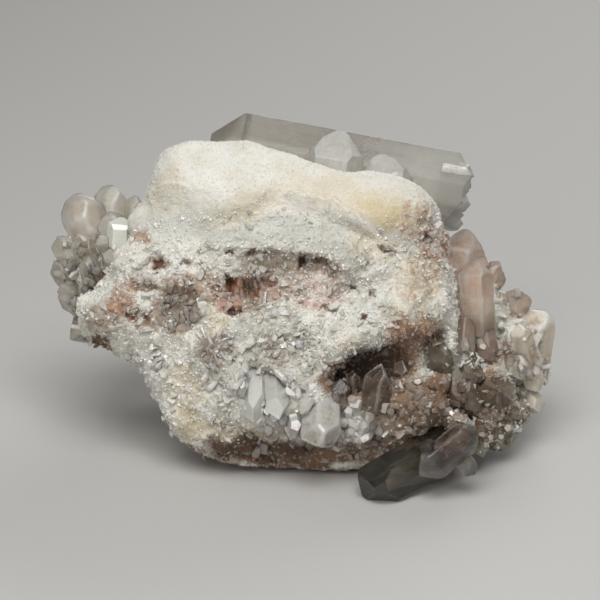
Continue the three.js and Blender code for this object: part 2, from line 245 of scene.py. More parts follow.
# ---- materials ----
class Nodes:
    """A short way to write a node tree: a node's keyword values are set by input name, and a value
    that is another node's output is linked."""

    def __init__(self, tree):
        self.tree = tree

    def add(self, kind, settings=None, **inputs):
        node = self.tree.nodes.new(kind)
        for key, value in (settings or {}).items():
            setattr(node, key, value)
        for key, value in inputs.items():
            socket = node.inputs[int(key[1:])] if key[0] == "_" else node.inputs[key.replace("_", " ")]
            self.feed(value, socket)
        return node

    def feed(self, value, socket):
        if isinstance(value, bpy.types.NodeSocket):
            self.tree.links.new(value, socket)
        else:
            socket.default_value = value

    def mask(self, name):
        return self.add("ShaderNodeAttribute", {"attribute_name": name}).outputs["Fac"]

    def math(self, operation, a, b=0.0):
        return self.add("ShaderNodeMath", {"operation": operation}, _0=a, _1=b).outputs[0]

    def plus(self, a, b):
        return self.math("ADD", a, b)

    def times(self, a, b):
        return self.math("MULTIPLY", a, b)

    def mix(self, factor, a, b):
        """Colour mix."""
        return self.add("ShaderNodeMix", {"data_type": "RGBA"}, _0=factor, _6=a, _7=b).outputs[2]

    def blend(self, factor, a, b):
        """Number mix."""
        return self.add("ShaderNodeMix", {"data_type": "FLOAT"}, _0=factor, _2=a, _3=b).outputs[0]

    def ramp(self, value, low, high, out_low=0.0, out_high=1.0):
        """Maps low..high smoothly to out_low..out_high."""
        node = self.add("ShaderNodeMapRange", {"interpolation_type": "SMOOTHSTEP"}, Value=value)
        node.inputs["From Min"].default_value, node.inputs["From Max"].default_value = low, high
        node.inputs["To Min"].default_value, node.inputs["To Max"].default_value = out_low, out_high
        return node.outputs["Result"]

    def noise(self, size, detail=3.0, rough=0.55):
        """Fractal noise whose lumps are about this many millimetres wide."""
        where = self.add("ShaderNodeTexCoord").outputs["Object"]
        return self.add("ShaderNodeTexNoise", None, Vector=where, Scale=1 / (size * MM), Detail=detail,
                        Roughness=rough).outputs["Fac"]

    def bump(self, height, depth):
        """A bump of this many millimetres."""
        return self.add("ShaderNodeBump", None, Height=height, Distance=depth * MM).outputs["Normal"]


def new_material(name):
    material = bpy.data.materials.new(name)
    material.use_nodes = True
    nodes = material.node_tree.nodes
    return material, Nodes(material.node_tree), nodes["Principled BSDF"], nodes["Material Output"]


def new_group(name, inputs, outputs):
    """An empty shader group with these sockets, each (name, type)."""
    tree = bpy.data.node_groups.new(name, "ShaderNodeTree")
    for label, kind in inputs:
        tree.interface.new_socket(label, in_out="INPUT", socket_type="NodeSocket" + kind)
    for label, kind in outputs:
        tree.interface.new_socket(label, in_out="OUTPUT", socket_type="NodeSocket" + kind)
    source, result = tree.nodes.new("NodeGroupInput"), tree.nodes.new("NodeGroupOutput")
    return tree, Nodes(tree), source.outputs, result.inputs


def colour(r, g, b):
    """A linear colour from 0-255 screen values."""
    def linear(v):
        v /= 255
        return v / 12.92 if v <= 0.04045 else ((v + 0.055) / 1.055) ** 2.4
    return (linear(r), linear(g), linear(b), 1)


SNOW = colour(224, 222, 214)
BONE = colour(210, 203, 186)
# frosted grey, which is painted shade where it lies on the banks
FROSTED_GREY_AND_SHADE = colour(196, 196, 186)
CREAM = colour(206, 189, 150)
GREY = colour(190, 184, 172)
RUST = colour(164, 118, 84)
ROSE = colour(176, 132, 114)
SOIL_AND_SHADE = colour(120, 88, 60)
SMOKE = colour(142, 123, 104)
PIT = colour(146, 104, 80)
# painted shade in the hollow and under the lower edges
UMBER_SHADE = colour(84, 62, 44)
BEIGE = colour(188, 180, 162)
# painted shade of crevices and recesses
CREVICE_SHADE = colour(136, 112, 90)
FLECK = colour(128, 84, 62)
GRAIN_WHITE = colour(232, 230, 224)
# a painted highlight on the edges of worn crystals
RIM_HIGHLIGHT_WHITE = colour(250, 248, 244)


def stains_group():
    """Iron, smoke and brown earth laid over a colour where the masks have them, with painted shade under the
    lump, along its lower edge and deep in its hollow. Puts out how dirty the place is, together with the
    painted shade under the lump, and how rusty it is, as well."""
    tree, n, source, result = new_group(
        "stains", [("Color", "Color"), ("Strength", "Float")],
        [("Color", "Color"), ("Dirt_and_shade", "Float"), ("Iron", "Float")])
    speckle = n.math("SUBTRACT", n.blend(0.5, n.noise(0.8, 4, 0.7), n.noise(3.0, 5, 0.6)), 0.5)

    def spread(mask, strength, tear, low=0.15, high=0.75):
        """A mask with a torn, speckled edge."""
        grown = n.plus(n.mask(mask), n.times(speckle, tear))
        laid = n.times(n.ramp(grown, low, high), strength)
        return n.times(laid, source["Strength"])

    paint = n.mix(spread("cream", 0.9, 0.5, 0.0, 1.0), source["Color"], CREAM)
    paint = n.mix(spread("smoke", 0.85, 1.6), paint, SMOKE)
    rust, rose = spread("rust", 0.75, 2.4, 0.2, 0.9), spread("rose", 0.75, 2.4, 0.2, 0.9)
    paint = n.mix(rose, n.mix(rust, paint, RUST), ROSE)
    # Brown earth, with painted shade on the faces that look down, low on the lump.
    dirt_and_shade = spread("soil_and_shade", 0.95, 1.3)
    paint = n.mix(dirt_and_shade, paint, SOIL_AND_SHADE)
    paint = n.mix(spread("pit", 0.9, 0.6), paint, PIT)
    # Painted shade: dark umber deep in the hollow, in its corner and under the lower edges.
    paint = n.mix(spread("umber_shade", 0.9, 1.6), paint, UMBER_SHADE)
    n.feed(paint, result["Color"])
    n.feed(dirt_and_shade, result["Dirt_and_shade"])
    n.feed(n.math("MAXIMUM", rust, rose), result["Iron"])
    return tree


def stained_quartz_group(stains):
    """Colour of milky quartz with its clear, frosted and stained zones, whiter grains and painted shade in
    its crevices; the frosted grey on the banks is painted shade as well.
    """
    tree, n, source, result = new_group(
        "stained_quartz", [("Fleck", "Float")], [("Color", "Color"), ("Dirt_and_shade", "Float"), ("Clear", "Float")])
    fine = n.noise(0.8, 4, 0.7)
    middle = n.noise(3.0, 5, 0.6)
    broad = n.noise(8, 4, 0.6)
    uneven = n.math("SUBTRACT", fine, 0.5)
    lumpy = n.plus(n.blend(0.35, middle, broad), n.times(uneven, 0.35))
    off_cap = n.math("SUBTRACT", 1.0, n.times(n.mask("cap"), 0.85))
    clear = n.times(n.ramp(lumpy, 0.49, 0.62), off_cap)
    clear = n.math("MAXIMUM", clear, n.mask("glassy"))
    paint = n.mix(n.ramp(broad, 0.4, 0.65, 0, 0.6), SNOW, BONE)
    paint = n.mix(n.ramp(fine, 0.5, 0.72, 0, 0.3), paint, BEIGE)
    # Frosted grey, which on the banks below the cap is painted shade.
    paint = n.mix(n.times(n.mask("frost_and_shade"), 0.9), paint, FROSTED_GREY_AND_SHADE)
    paint = n.mix(n.times(clear, 0.6), paint, GREY)
    stained = n.add("ShaderNodeGroup", {"node_tree": stains}, Color=paint, Strength=1.0)
    paint, dirt_and_shade = stained.outputs["Color"], stained.outputs["Dirt_and_shade"]
    # Painted shade: crevices and recesses off the cap are darkened, where shade falls.
    hollow = n.times(n.mask("crevice_shade"), off_cap)
    paint = n.mix(n.ramp(hollow, 0.3, 1.0, 0, 0.5), paint, CREVICE_SHADE)
    whiter = n.ramp(n.mask("speck"), 0.45, 0.9, 0, 0.7)
    stain = n.math("MAXIMUM", dirt_and_shade, stained.outputs["Iron"])
    whiter = n.times(whiter, n.math("SUBTRACT", 1.0, n.times(stain, 0.65)))
    paint = n.mix(whiter, paint, GRAIN_WHITE)
    fleck = n.times(n.ramp(n.noise(0.6, 2, 0.5), 0.68, 0.74), n.mask("grit"))
    paint = n.mix(n.times(fleck, source["Fleck"]), paint, FLECK)
    n.feed(paint, result["Color"])
    n.feed(dirt_and_shade, result["Dirt_and_shade"])
    n.feed(clear, result["Clear"])
    return tree


def skin_group():
    """Roughness and bump of a crystal's skin: fine growth lines across the prism faces, faint
    hillocks, and a frosted foot."""
    tree, n, source, result = new_group(
        "crystal_skin", [("Gloss", "Float"), ("Frost", "Float")],
        [("Roughness", "Float"), ("Height", "Float"), ("Streak", "Float")])
    along = n.mask("along")  # millimetres from the foot
    foot = n.ramp(n.plus(n.mask("growth"), n.times(n.noise(2.5), 0.4)), 0.35, 0.85, 1, 0)
    patchy = n.ramp(n.noise(1.6, 4, 0.65), 0.5, 0.7)
    frost = n.times(n.math("MAXIMUM", foot, n.times(patchy, 0.35)), source["Frost"])
    rough = n.plus(n.plus(source["Gloss"], frost), n.times(n.mask("dull"), 0.2))
    n.feed(rough, result["Roughness"])
    wobble = n.times(n.noise(3, 2), 0.8)
    step = n.add("ShaderNodeTexNoise", {"noise_dimensions": "1D"}, W=n.plus(along, wobble),
                 Scale=3.2, Detail=3.0, Roughness=0.6).outputs["Fac"]
    lines = n.times(step, 0.6)
    hill = n.times(n.noise(1.3, 3, 0.6), n.plus(n.times(frost, 1.5), 0.25))
    side = n.add("ShaderNodeCombineXYZ", None, X=n.mask("side_x"), Y=n.mask("side_y"),
                 Z=n.times(along, 0.1))
    streak = n.add("ShaderNodeTexNoise", None, Vector=side.outputs[0], Scale=1.3, Detail=3.0).outputs["Fac"]
    n.feed(n.ramp(streak, 0.48, 0.66), result["Streak"])
    n.feed(n.plus(n.plus(lines, hill), n.times(streak, 0.8)), result["Height"])
    return tree


def rock_material(name, groups, gloss, see_through=0.0, fleck=1.0, scatter=0.3, soft=1.0):
    """Milky quartz: matte where it is sugary, where it is dirty and where its underside has painted shade;
    brighter where it is clear.
    """
    material, n, shader, _ = new_material(name)
    stain = n.add("ShaderNodeGroup", {"node_tree": groups["stained_quartz"]}, Fleck=fleck)
    n.feed(stain.outputs["Color"], shader.inputs["Base Color"])
    rough = n.ramp(n.noise(1.1, 3), 0.35, 0.7, gloss, gloss + 0.25)
    rough = n.blend(stain.outputs["Clear"], rough, n.times(rough, 0.5))
    n.feed(n.blend(stain.outputs["Dirt_and_shade"], rough, 0.75), shader.inputs["Roughness"])
    height = n.plus(n.noise(0.5, 3, 0.7), n.times(n.noise(1.6, 2), 0.8))
    n.feed(n.bump(height, 0.14), shader.inputs["Normal"])
    shader.inputs["IOR"].default_value = QUARTZ_IOR
    shader.inputs["Transmission Weight"].default_value = see_through
    shader.inputs["Subsurface Weight"].default_value = scatter
    shader.inputs["Subsurface Radius"].default_value = (1.0, 0.9, 0.8)
    shader.inputs["Subsurface Scale"].default_value = soft * MM
    return material


def crystal_material(name, groups, tint, body, density, gloss=0.03, frost=0.3, milk=0.0, coat=0.0,
                     foot_tint=None, dull_tint=None, soft=2.0, bump=0.05):
    """Clear quartz: glass with a plain tint and absorption, cloudy by the share of milk. foot_tint
    colours it near the foot, and dull_tint the crystals that are marked as dull; soft is how far
    light spreads in the milk, and bump how high the skin's relief is, in millimetres."""
    material, n, shader, output = new_material(name)
    clean, foot, cloudy = colour(*tint), colour(*(foot_tint or tint)), colour(*(dull_tint or tint))
    skin = n.add("ShaderNodeGroup", {"node_tree": groups["skin"]}, Gloss=gloss, Frost=frost)
    paint = n.mix(n.ramp(n.noise(2.2, 4, 0.6), 0.42, 0.62, 0, 0.5), clean, cloudy)
    paint = n.mix(n.times(skin.outputs["Streak"], 0.45), paint, cloudy)
    paint = n.mix(n.mask("dull"), paint, cloudy)
    near_foot = n.ramp(n.plus(n.mask("growth"), n.times(n.noise(3), 0.5)), 0.3, 0.75, 1, 0)
    paint = n.mix(near_foot, paint, foot)
    stained = n.add("ShaderNodeGroup", {"node_tree": groups["stains"]}, Color=paint, Strength=0.8)
    paint = stained.outputs["Color"]
    # Painted highlight: the edges and crests of worn crystals are whitened.
    paint = n.mix(n.times(n.mask("rim_highlight"), 0.7), paint, RIM_HIGHLIGHT_WHITE)
    n.feed(paint, shader.inputs["Base Color"])
    n.feed(skin.outputs["Roughness"], shader.inputs["Roughness"])
    n.feed(n.bump(skin.outputs["Height"], bump), shader.inputs["Normal"])
    shader.inputs["IOR"].default_value = QUARTZ_IOR
    shader.inputs["Transmission Weight"].default_value = 1 - milk
    shader.inputs["Subsurface Weight"].default_value = 1.0
    shader.inputs["Subsurface Radius"].default_value = (1.0, 1.0, 1.0)
    shader.inputs["Subsurface Scale"].default_value = soft * MM
    shader.inputs["Coat Weight"].default_value = coat
    shader.inputs["Coat Roughness"].default_value = 0.04
    absorb = n.add("ShaderNodeVolumeAbsorption", None, Color=colour(*body), Density=density)
    n.tree.links.new(absorb.outputs["Volume"], output.inputs["Volume"])
    return material


def build_materials():
    stains = stains_group()
    groups = {"stains": stains, "stained_quartz": stained_quartz_group(stains), "skin": skin_group()}

    def quartz(name, tint, body, density, **more):
        return crystal_material(name, groups, tint, body, density, **more)

    return {
        "rock": rock_material("milky_quartz", groups, gloss=0.45),
        "core": rock_material("brown_core", groups, gloss=0.4),
        "sugar": rock_material("sugary_grains", groups, gloss=0.1, soft=0.4),
        "druse": rock_material("druse_points", groups, gloss=0.04, see_through=0.15, fleck=0.4,
                               scatter=0.4, soft=0.5),
        "clear": quartz("clear_quartz", (246, 244, 238), (232, 230, 220), 20, frost=0.2, milk=0.28,
                        foot_tint=(236, 228, 214), dull_tint=(226, 220, 208)),
        "glassy": quartz("glassy_quartz", (238, 238, 234), (235, 235, 228), 12, frost=0.12, milk=0.05,
                         bump=0.25),
        "icy": quartz("icy_quartz", (252, 249, 238), (228, 224, 210), 8, frost=0.06, milk=0.46, coat=0.8,
                      foot_tint=(250, 248, 242), dull_tint=(240, 237, 230), soft=0.8, bump=0.12),
        "chips": quartz("broken_quartz_chips", (250, 248, 242), (228, 225, 216), 8, frost=0.1, milk=0.75,
                        coat=0.6, foot_tint=(242, 236, 224), dull_tint=(226, 220, 208), soft=1.5),
        "honey": quartz("honey_quartz", (214, 196, 172), (200, 176, 146), 30, frost=0.1, milk=0.4,
                        coat=0.5, foot_tint=(150, 116, 86), dull_tint=(180, 156, 128), soft=1.0),
        "veiled": quartz("veiled_quartz", (232, 228, 220), (225, 221, 210), 14, frost=0.6, milk=0.16,
                         foot_tint=(246, 243, 236), dull_tint=(210, 204, 194)),
        "pearly": quartz("pearly_quartz", (252, 247, 234), (228, 221, 206), 7, frost=0.12, milk=0.3,
                         coat=0.4, foot_tint=(240, 226, 206), dull_tint=(232, 222, 206), soft=1.5, bump=0.14),
        "snowy": quartz("snowy_quartz", (253, 251, 244), (232, 230, 220), 8, gloss=0.04, frost=0.2,
                        milk=0.42, coat=0.5, foot_tint=(248, 245, 236), dull_tint=(232, 228, 218), soft=1.5,
                        bump=0.14),
        "window": quartz("window_quartz", (244, 238, 226), (214, 204, 186), 16, gloss=0.02, frost=0.2,
                         milk=0.14, foot_tint=(196, 172, 140), dull_tint=(222, 212, 196), bump=0.1),
        "rosy": quartz("rosy_quartz", (254, 236, 222), (226, 198, 178), 12, frost=0.12, milk=0.18,
                       foot_tint=(232, 204, 182), dull_tint=(226, 198, 178), soft=1.5, bump=0.14),
        "smoky": quartz("smoky_quartz", (190, 180, 160), (164, 152, 132), 30, gloss=0.05, frost=0.15,
                        milk=0.4, coat=0.5, foot_tint=(148, 130, 106), dull_tint=(150, 138, 118), bump=0.15),
        "dark": quartz("dark_quartz", (214, 208, 194), (170, 158, 138), 45, gloss=0.02, frost=0.15,
                       milk=0.04, foot_tint=(160, 146, 124)),
        "block": quartz("whitish_quartz", (240, 232, 216), (215, 200, 180), 30, gloss=0.1, milk=0.6,
                        coat=0.4, foot_tint=(222, 194, 164), dull_tint=(220, 206, 184), bump=0.15),
        # Painted highlight: a near-opaque white that stands in for a facet's reflection of the overhead
        # softbox.
        "white": quartz("white_quartz", (238, 240, 230), (240, 238, 232), 10, gloss=0.1, frost=0.1,
                        milk=0.85, coat=0.6, soft=0.5),
    }


# ---- the making of crystals ----
etching = bpy.data.textures.new("etching", "CLOUDS")  # hillocks of etched crystals, in millimetres
etching.noise_scale = 2.4
etching.noise_depth = 1
# Shares of a crystal's width.
UNEVEN_SIDES = 0.12  # by which its side faces lie nearer or farther
UNEVEN_ENDS = 0.05  # by which its end faces do
LESSER_FACE = 0.1  # how much less every second end face cuts off
CRUST = 0.36  # the share of a crystal's length, from its foot, where small ones may grow on it


def halve(point, outward):
    """Cuts away, from the crystal in hand, what lies beyond a plane, and closes the cut."""
    bpy.ops.mesh.select_all(action="SELECT")
    bpy.ops.mesh.bisect(plane_co=point, plane_no=outward, use_fill=True, clear_outer=True)


def crystal(root, tip, width, flat=1, spin=0, blunt=0, doubled=False, seed=None, edge=0.1, broken=0,
            worn=0, dull=0, slope=QUARTZ_SLOPE):
    """One quartz crystal: six prism faces round the line from root to tip, closed at the tip by six
    rhombohedral faces, or by three on a small one. width is across the flats and flat squashes it;
    spin turns it; blunt takes that much off its point; doubled gives the root end a point as well;
    broken chips the root end with that many slanting cuts; worn rounds it all over, as etching
    does, and edge its edges alone; dull (0 to 1) is how cloudy it is, and slope how steep its end
    faces are."""
    seed = root[0] * 3 + tip[1] if seed is None else seed
    foot, head = place(*root), place(*tip)
    length = (head - foot).length / MM
    bpy.ops.mesh.primitive_cylinder_add(vertices=6, radius=width, depth=2 * length)
    obj = bpy.context.object
    obj.location.z = length if not doubled else length * 0.5
    settle(obj)
    edit(obj)
    across, up = math.sin(math.radians(slope)), math.cos(math.radians(slope))
    for k in range(6):
        ahead, aside = math.cos(k * math.pi / 3), math.sin(k * math.pi / 3)
        reach = width / 2 * math.hypot(ahead, flat * aside) * (1 + UNEVEN_SIDES * quirk(seed, k))
        halve((ahead * reach, aside * reach, 0), (ahead, aside, 0))
        if k % 2 and width < SMALL_CRYSTAL:
            continue
        shift = width * ((LESSER_FACE if k % 2 else 0) + UNEVEN_ENDS * quirk(seed, k + 10))
        halve((0, 0, length + shift / up), (across * ahead, across * aside, up))
        if doubled:
            halve((0, 0, -shift / up), (across * ahead, across * aside, -up))
    if blunt:
        halve((0, 0, length - blunt), (0, 0, 1))
    for k in range(broken):
        turn = GOLDEN_ANGLE * k + seed
        tilt = 0.35 + 0.25 * quirk(seed, k + 30)
        halve((0, 0, width * (0.05 + 0.08 * k)), (tilt * math.cos(turn), tilt * math.sin(turn), -1))
    leave_edit()
    if worn:
        etch(obj, width, worn)
    else:
        modify(obj, "BEVEL", width=edge, segments=2, limit_method="ANGLE", angle_limit=math.radians(15))
    side_x, side_y, z = coords(obj).T
    write_mask(obj, "side_x", side_x)
    write_mask(obj, "side_y", side_y)
    write_mask(obj, "along", z)
    write_mask(obj, "growth", z / length)
    write_mask(obj, "dull", np.full(len(z), dull))
    obj.scale = (MM, MM, MM)
    turn = Vector((0, 0, 1)).rotation_difference((head - foot).normalized())
    obj.rotation_euler = (turn.to_matrix() @ Euler((0, 0, math.radians(spin))).to_matrix()).to_euler()
    obj.location = foot
    settle(obj)
    # Edges and crests of worn crystals, for their painted highlight.
    write_mask(obj, "rim_highlight", smoothstep(-relief(obj, 4), 0.02, 0.14) if worn else np.zeros(len(z)))
    return cut_at_ground(obj) if coords(obj)[:, 2].min() < 0 else obj


def etch(obj, width, worn):
    """Rounds a crystal all over, by about this many millimetres, and gives it low hillocks."""
    voxel = max(0.26, 0.055 * width)
    modify(obj, "REMESH", mode="VOXEL", voxel_size=voxel)
    modify(obj, "SMOOTH", factor=0.5, iterations=round(worn / voxel * 3))
    modify(obj, "DISPLACE", texture=etching, texture_coords="LOCAL", strength=0.5 * worn, mid_level=0.5)
    modify(obj, "DECIMATE", ratio=0.6)
    bpy.ops.object.shade_smooth()


def relief(obj, reach):
    """How deep each point lies among its neighbours, this many edges away, in millimetres: below 0
    on an edge or a crest."""
    edges = np.empty(len(obj.data.edges) * 2, np.int32)
    obj.data.edges.foreach_get("vertices", edges)
    a, b = edges.reshape(-1, 2).T
    co = coords(obj)
    count = np.bincount(a, minlength=len(co)) + np.bincount(b, minlength=len(co))
    smooth = co.copy()
    for _ in range(reach):
        total = np.zeros_like(smooth)
        np.add.at(total, a, smooth[b])
        np.add.at(total, b, smooth[a])
        smooth = total / count[:, None]
    return ((smooth - co) * normals(obj)).sum(1) / MM


def clear_of_ground(co, gap):
    """Which points lie more than this many millimetres above the ground."""
    return co[:, 2] > gap * MM


def cut_at_ground(obj):
    edit(obj)
    bpy.ops.mesh.bisect(plane_co=(0, 0, 0), plane_no=(0, 0, -1), use_fill=True, clear_outer=True)
    bpy.ops.mesh.select_all(action="SELECT")
    bpy.ops.mesh.delete_loose()
    leave_edit()
    return obj


def crystal_group(name, material, crystals, node=None, crust=CRUST):
    """A named piece of crystals grown together."""
    piece = join(name, [crystal(**terms) for terms in crystals])
    co = coords(piece)
    for kind, values in stains_at(co, *CLUSTER_FADE).items():
        write_mask(piece, kind, values)
    grown = np.empty(len(co), np.float32)
    piece.data.attributes["growth"].data.foreach_get("value", grown)
    crusted = smoothstep(crust - grown + 0.5 * swell(co, 3.5), 0, 0.3)
    write_mask(piece, "foot", clear_of_ground(co, 1.5) * crusted)
    piece.data.materials.append(material)
    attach(piece, "root")
    if node:
        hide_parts(node)
    return piece


def prism(root, tip, width, **more):
    """One crystal of a list, in the terms of crystal()."""
    return {"root": root, "tip": tip, "width": width, **more}


# ---- the cluster's crystals ----
# Each has its root, its tip and its width, and what sets it apart.
FACE_POINTS = [
    prism((-14, -11.5, -13), (-15, -21, -19.5), 3.8, flat=0.7, worn=0.2),
    prism((-21, -19.5, -11), (-23.5, -9, -16.5), 3.2, spin=20, worn=0.2),
    prism((-20, -20, -11), (-20.5, -8, -18), 3.4, worn=0.2),
    prism((-19, -19.5, -12), (-17.5, -9.5, -17.5), 3, spin=40, worn=0.2),
    prism((10, -27, -11), (15.5, -33, -16), 3.6, worn=0.2),
    prism((25, -24, -10), (28.5, -22, -17), 4.4, spin=15, worn=0.2),
    prism((33, -29, -6), (37.5, -27.5, -13.5), 4.6, worn=0.2),
    prism((-38, -9.5, -4), (-39.8, -13.6, -5.5), 1.8, edge=0.05),
    prism((-35, -13, -5), (-36.4, -17, -6.5), 1.6, edge=0.05),
    prism((-32, -17, -6), (-33.6, -21, -7.5), 1.6, edge=0.05),
]
# Clear crystals in the broken front: middle x, h, how far they spread, how many, the way they point
# in degrees with its spread, their length and width, and the share of it that they stand out.
GLASSY_PATCHES = [
    (-27, -2.5, 4.2, 5, 26, 70, 80, 3.4, 1.8, 0.4), (-27, -2.5, 4.6, 5.6, 40, 80, 90, 2.8, 0.6, 0.35),
    (-20, -10.8, 0.8, 0.8, 26, 20, 180, 6.2, 0.8, 0.12), (-13, -20, 8, 6, 20, -80, 70, 3.6, 2.2, 0.45),
    (-4, -14, 7, 6, 16, -60, 90, 3.2, 2, 0.45), (14, -27, 6, 5, 12, 60, 100, 3.4, 2.2, 0.45),
    (26, -24, 7, 6, 34, 60, 120, 3.2, 2.1, 0.5), (-11, 1, 3.5, 3, 16, 90, 20, 4.6, 1.5, 0.2),
    (4, 8.5, 6, 1.6, 12, -80, 40, 2.6, 1.2, 0.35), (-32, -14, 4, 3, 10, -60, 60, 3, 1.5, 0.4),
    (15, -19, 9, 2, 16, 80, 60, 3.4, 2.0, 0.6),
]
# The larger glassy crystals heaped round the three big points, in the same terms.
GLASSY_HEAP = [
    (1, -24, 9, 4.5, 20, -85, 45, 6.2, 3.7, 0.5), (-9, -20, 5, 4, 10, -90, 50, 5.2, 3.1, 0.45),
    (12, -29, 5, 4, 12, -70, 70, 5, 3.2, 0.5), (-2, -31, 8, 2.5, 10, -90, 60, 4.4, 2.9, 0.5),
]
# Small crystals among those of the clusters at the sides, in the same terms.
SPROUTS = {
    "left_cluster": [(-50, 3, 6, 10, 60, 100, 60, 4.2, 2.2, 0.45)],
    "right_cluster": [(41, -13, 6, 4, 24, -80, 60, 3.8, 1.8, 0.45),
                      (48, 0, 3, 7, 12, -60, 60, 3.4, 1.8, 0.45)],
    "right_block": [(52, -11, 5, 9, 30, -80, 60, 3.8, 2, 0.45)],
    "lower_right_cluster": [(43, -24, 9, 9, 40, -80, 70, 3.6, 2.2, 0.45)],
}
LARGE_PRISM = [prism((43, 25, 36), (-23.5, 37.6, 38), 18.6, flat=0.92, spin=96, blunt=1.5, seed=3,
                     edge=0.25, broken=3)]
BOTTOM_PRISM = [prism((33.5, -33, -6), (13, -43.4, -20.5), 11.4, flat=0.9, spin=20, blunt=2.6, seed=5,
                      edge=0.2)]
LEFT_POINT = [prism((-10.5, -16, -12.5), (-10.3, -27.4, -20), 5.2, flat=0.6, spin=30, slope=66)]
MIDDLE_POINT = [prism((-5.8, -18, -12.5), (-5, -27, -19.5), 5.4, flat=0.8, slope=60)]
LARGE_POINT = [prism((5, -20, -9), (4.6, -33.5, -21), 9.6, flat=0.6, spin=10, blunt=0.8, worn=0.35)]
HOODED = [
    prism((26.5, -39.2, -20), (39.8, -28.2, -18), 7.2, spin=25, blunt=0.7, doubled=True, worn=0.9),
    prism((35, -34, -16), (39.4, -39.4, -18.5), 3.8, doubled=True, worn=0.4),
    prism((29, -34, -13), (28.6, -32.6, -22.5), 3.4, worn=0.4),
]
HOODED_CORE = [prism((31.5, -33.8, -19), (37.6, -29.2, -18.6), 3.6, spin=25, blunt=0.6, worn=0.5)]
HOLLOW_CRUST = [
    prism((17.5, -23.5, -8), (18.6, -13.8, -13), 6.6, flat=0.75, spin=12, slope=60, worn=0.2),
    prism((12.5, -22, -6), (10, -15.8, -10.5), 4.2, worn=0.2),
    prism((12, -24, -9), (9.5, -17.5, -14.5), 4.4, flat=0.7, spin=30, slope=62, worn=0.2),
    prism((22.5, -20, -6), (23.5, -13.5, -9.5), 4, worn=0.2),
]
# Crystals on the lip of the hollow, in front of its dark.
LIP_POINTS = [
    prism((16.6, -25, -14), (18.4, -14.2, -16.4), 6.4, flat=0.62, slope=58, worn=0.2),
    prism((9.6, -25.5, -13), (9.2, -17.6, -14.8), 5, flat=0.7, spin=20, worn=0.2),
    prism((12.4, -23, -13.2), (11.8, -15.6, -14.8), 3.2, flat=0.8, worn=0.2),
]
LEFT_CLUSTER = [
    prism((-45.5, 8, 15), (-53.6, 26, 12), 10.6, flat=0.9, spin=20, blunt=1.6, worn=0.8, dull=1),
    prism((-44, 12, 17), (-44.6, 28, 14), 8, flat=0.9, spin=12, blunt=1.2, worn=0.25),
    prism((-39, 13, 14), (-38.6, 24.6, 9), 4.4, flat=0.8, worn=0.1),
    prism((-39.5, 8, 13), (-44.5, 20.5, 4), 8.6, spin=22, blunt=1, worn=0.19, dull=0.5),
    prism((-49, 1, 15), (-56.4, 15, 8), 5.6, spin=10, worn=0.1, dull=0.2),
    prism((-49.5, 0, 13), (-57.6, 9, 9), 5.5, worn=0.1, dull=0.7),
    prism((-47, 3, 11), (-51.5, 15.2, 3), 4.6, spin=40, dull=0.4),
    prism((-46.5, -3, 8), (-48.6, 10, -0.5), 5, spin=10, dull=0.8),
    prism((-43.5, 0, 6), (-43.6, 12, -1.5), 4, spin=20, dull=0.3),
    prism((-46.5, 0, 15), (-56.8, 0.5, 10), 6.5, worn=0.19, dull=0.4),
    prism((-44, -3, 13), (-53.6, -9, 8), 7, worn=0.22, dull=1),
    prism((-41, 5, 8), (-46, 15, -1), 3.6, spin=35),
    prism((-50, -4, 10), (-55.5, 4, 5), 4, spin=15, dull=0.2),
]
# A real crystal whose near-white colour is a painted highlight of its facet's reflection.
HIGHLIGHT_FACET = [prism((-41.4, 12.6, 1), (-40.8, 20.4, -2), 6, spin=30, blunt=2.6, edge=0.08)]
RIGHT_CLUSTER = [
    prism((37, 0, 19), (39.2, 17.6, 18), 8.6, spin=15, blunt=0.8, worn=0.18),
    prism((40, -2, 14), (43.6, 10.4, 12), 4.6, worn=0.18),
    prism((41, -2, 13), (46.6, 9.4, 12), 4, worn=0.18),
    prism((41, -3, 12), (47.6, 6.8, 10), 3.6, spin=30, worn=0.18),
    prism((41, -5, 10), (48.4, 1.4, 8), 4, worn=0.18),
    prism((41.6, -13, 3), (40.4, 10, 0.5), 7.4, spin=8, blunt=0.6, worn=0.18),
    prism((38.5, -5, 1), (37.6, -15.4, -4), 4.6, worn=0.18),
    prism((42, -5, 3), (43.6, -14.2, -2.5), 4.6, spin=20, worn=0.18),
    prism((41, -4, 14), (54.4, 0.2, 10), 5.8, blunt=0.5, worn=0.18),
]
RIGHT_BLOCK = [
    prism((53.6, -19, 13), (56, -0.4, 10), 8.6, flat=0.85, spin=12, blunt=2, worn=0.24),
    prism((53, -15, 4), (50, -5.4, -1.5), 4.8, flat=0.7, spin=15, worn=0.24),
    prism((49, -10, 6), (51, -18.8, 0), 5, worn=0.24),
    prism((53, -13, 8), (54.6, -21.2, 2), 4.6, spin=30, worn=0.24),
    prism((50.5, -18, 9), (55.6, -26.2, 5), 4.4, worn=0.24),
]
LOWER_RIGHT_CLUSTER = [
    prism((37.5, -14, 0), (36.4, -27.6, -9), 8, spin=28, blunt=3),
    prism((33.5, -20, -2), (31.6, -9.6, -7.5), 5.8, blunt=0.8, dull=1),
    prism((45.5, -26, 2), (42, -19, -7.5), 5.8, spin=20),
    prism((44, -23, 6), (53.4, -29.6, 1), 7.4, blunt=2.2),
    prism((41.5, -25, 5), (48.6, -34.6, -3), 8, spin=15, blunt=2.4),
    prism((40, -18, 4), (48, -22, -5.5), 6.4),
    prism((40, -27, 0), (40.5, -35, -9), 6),
]
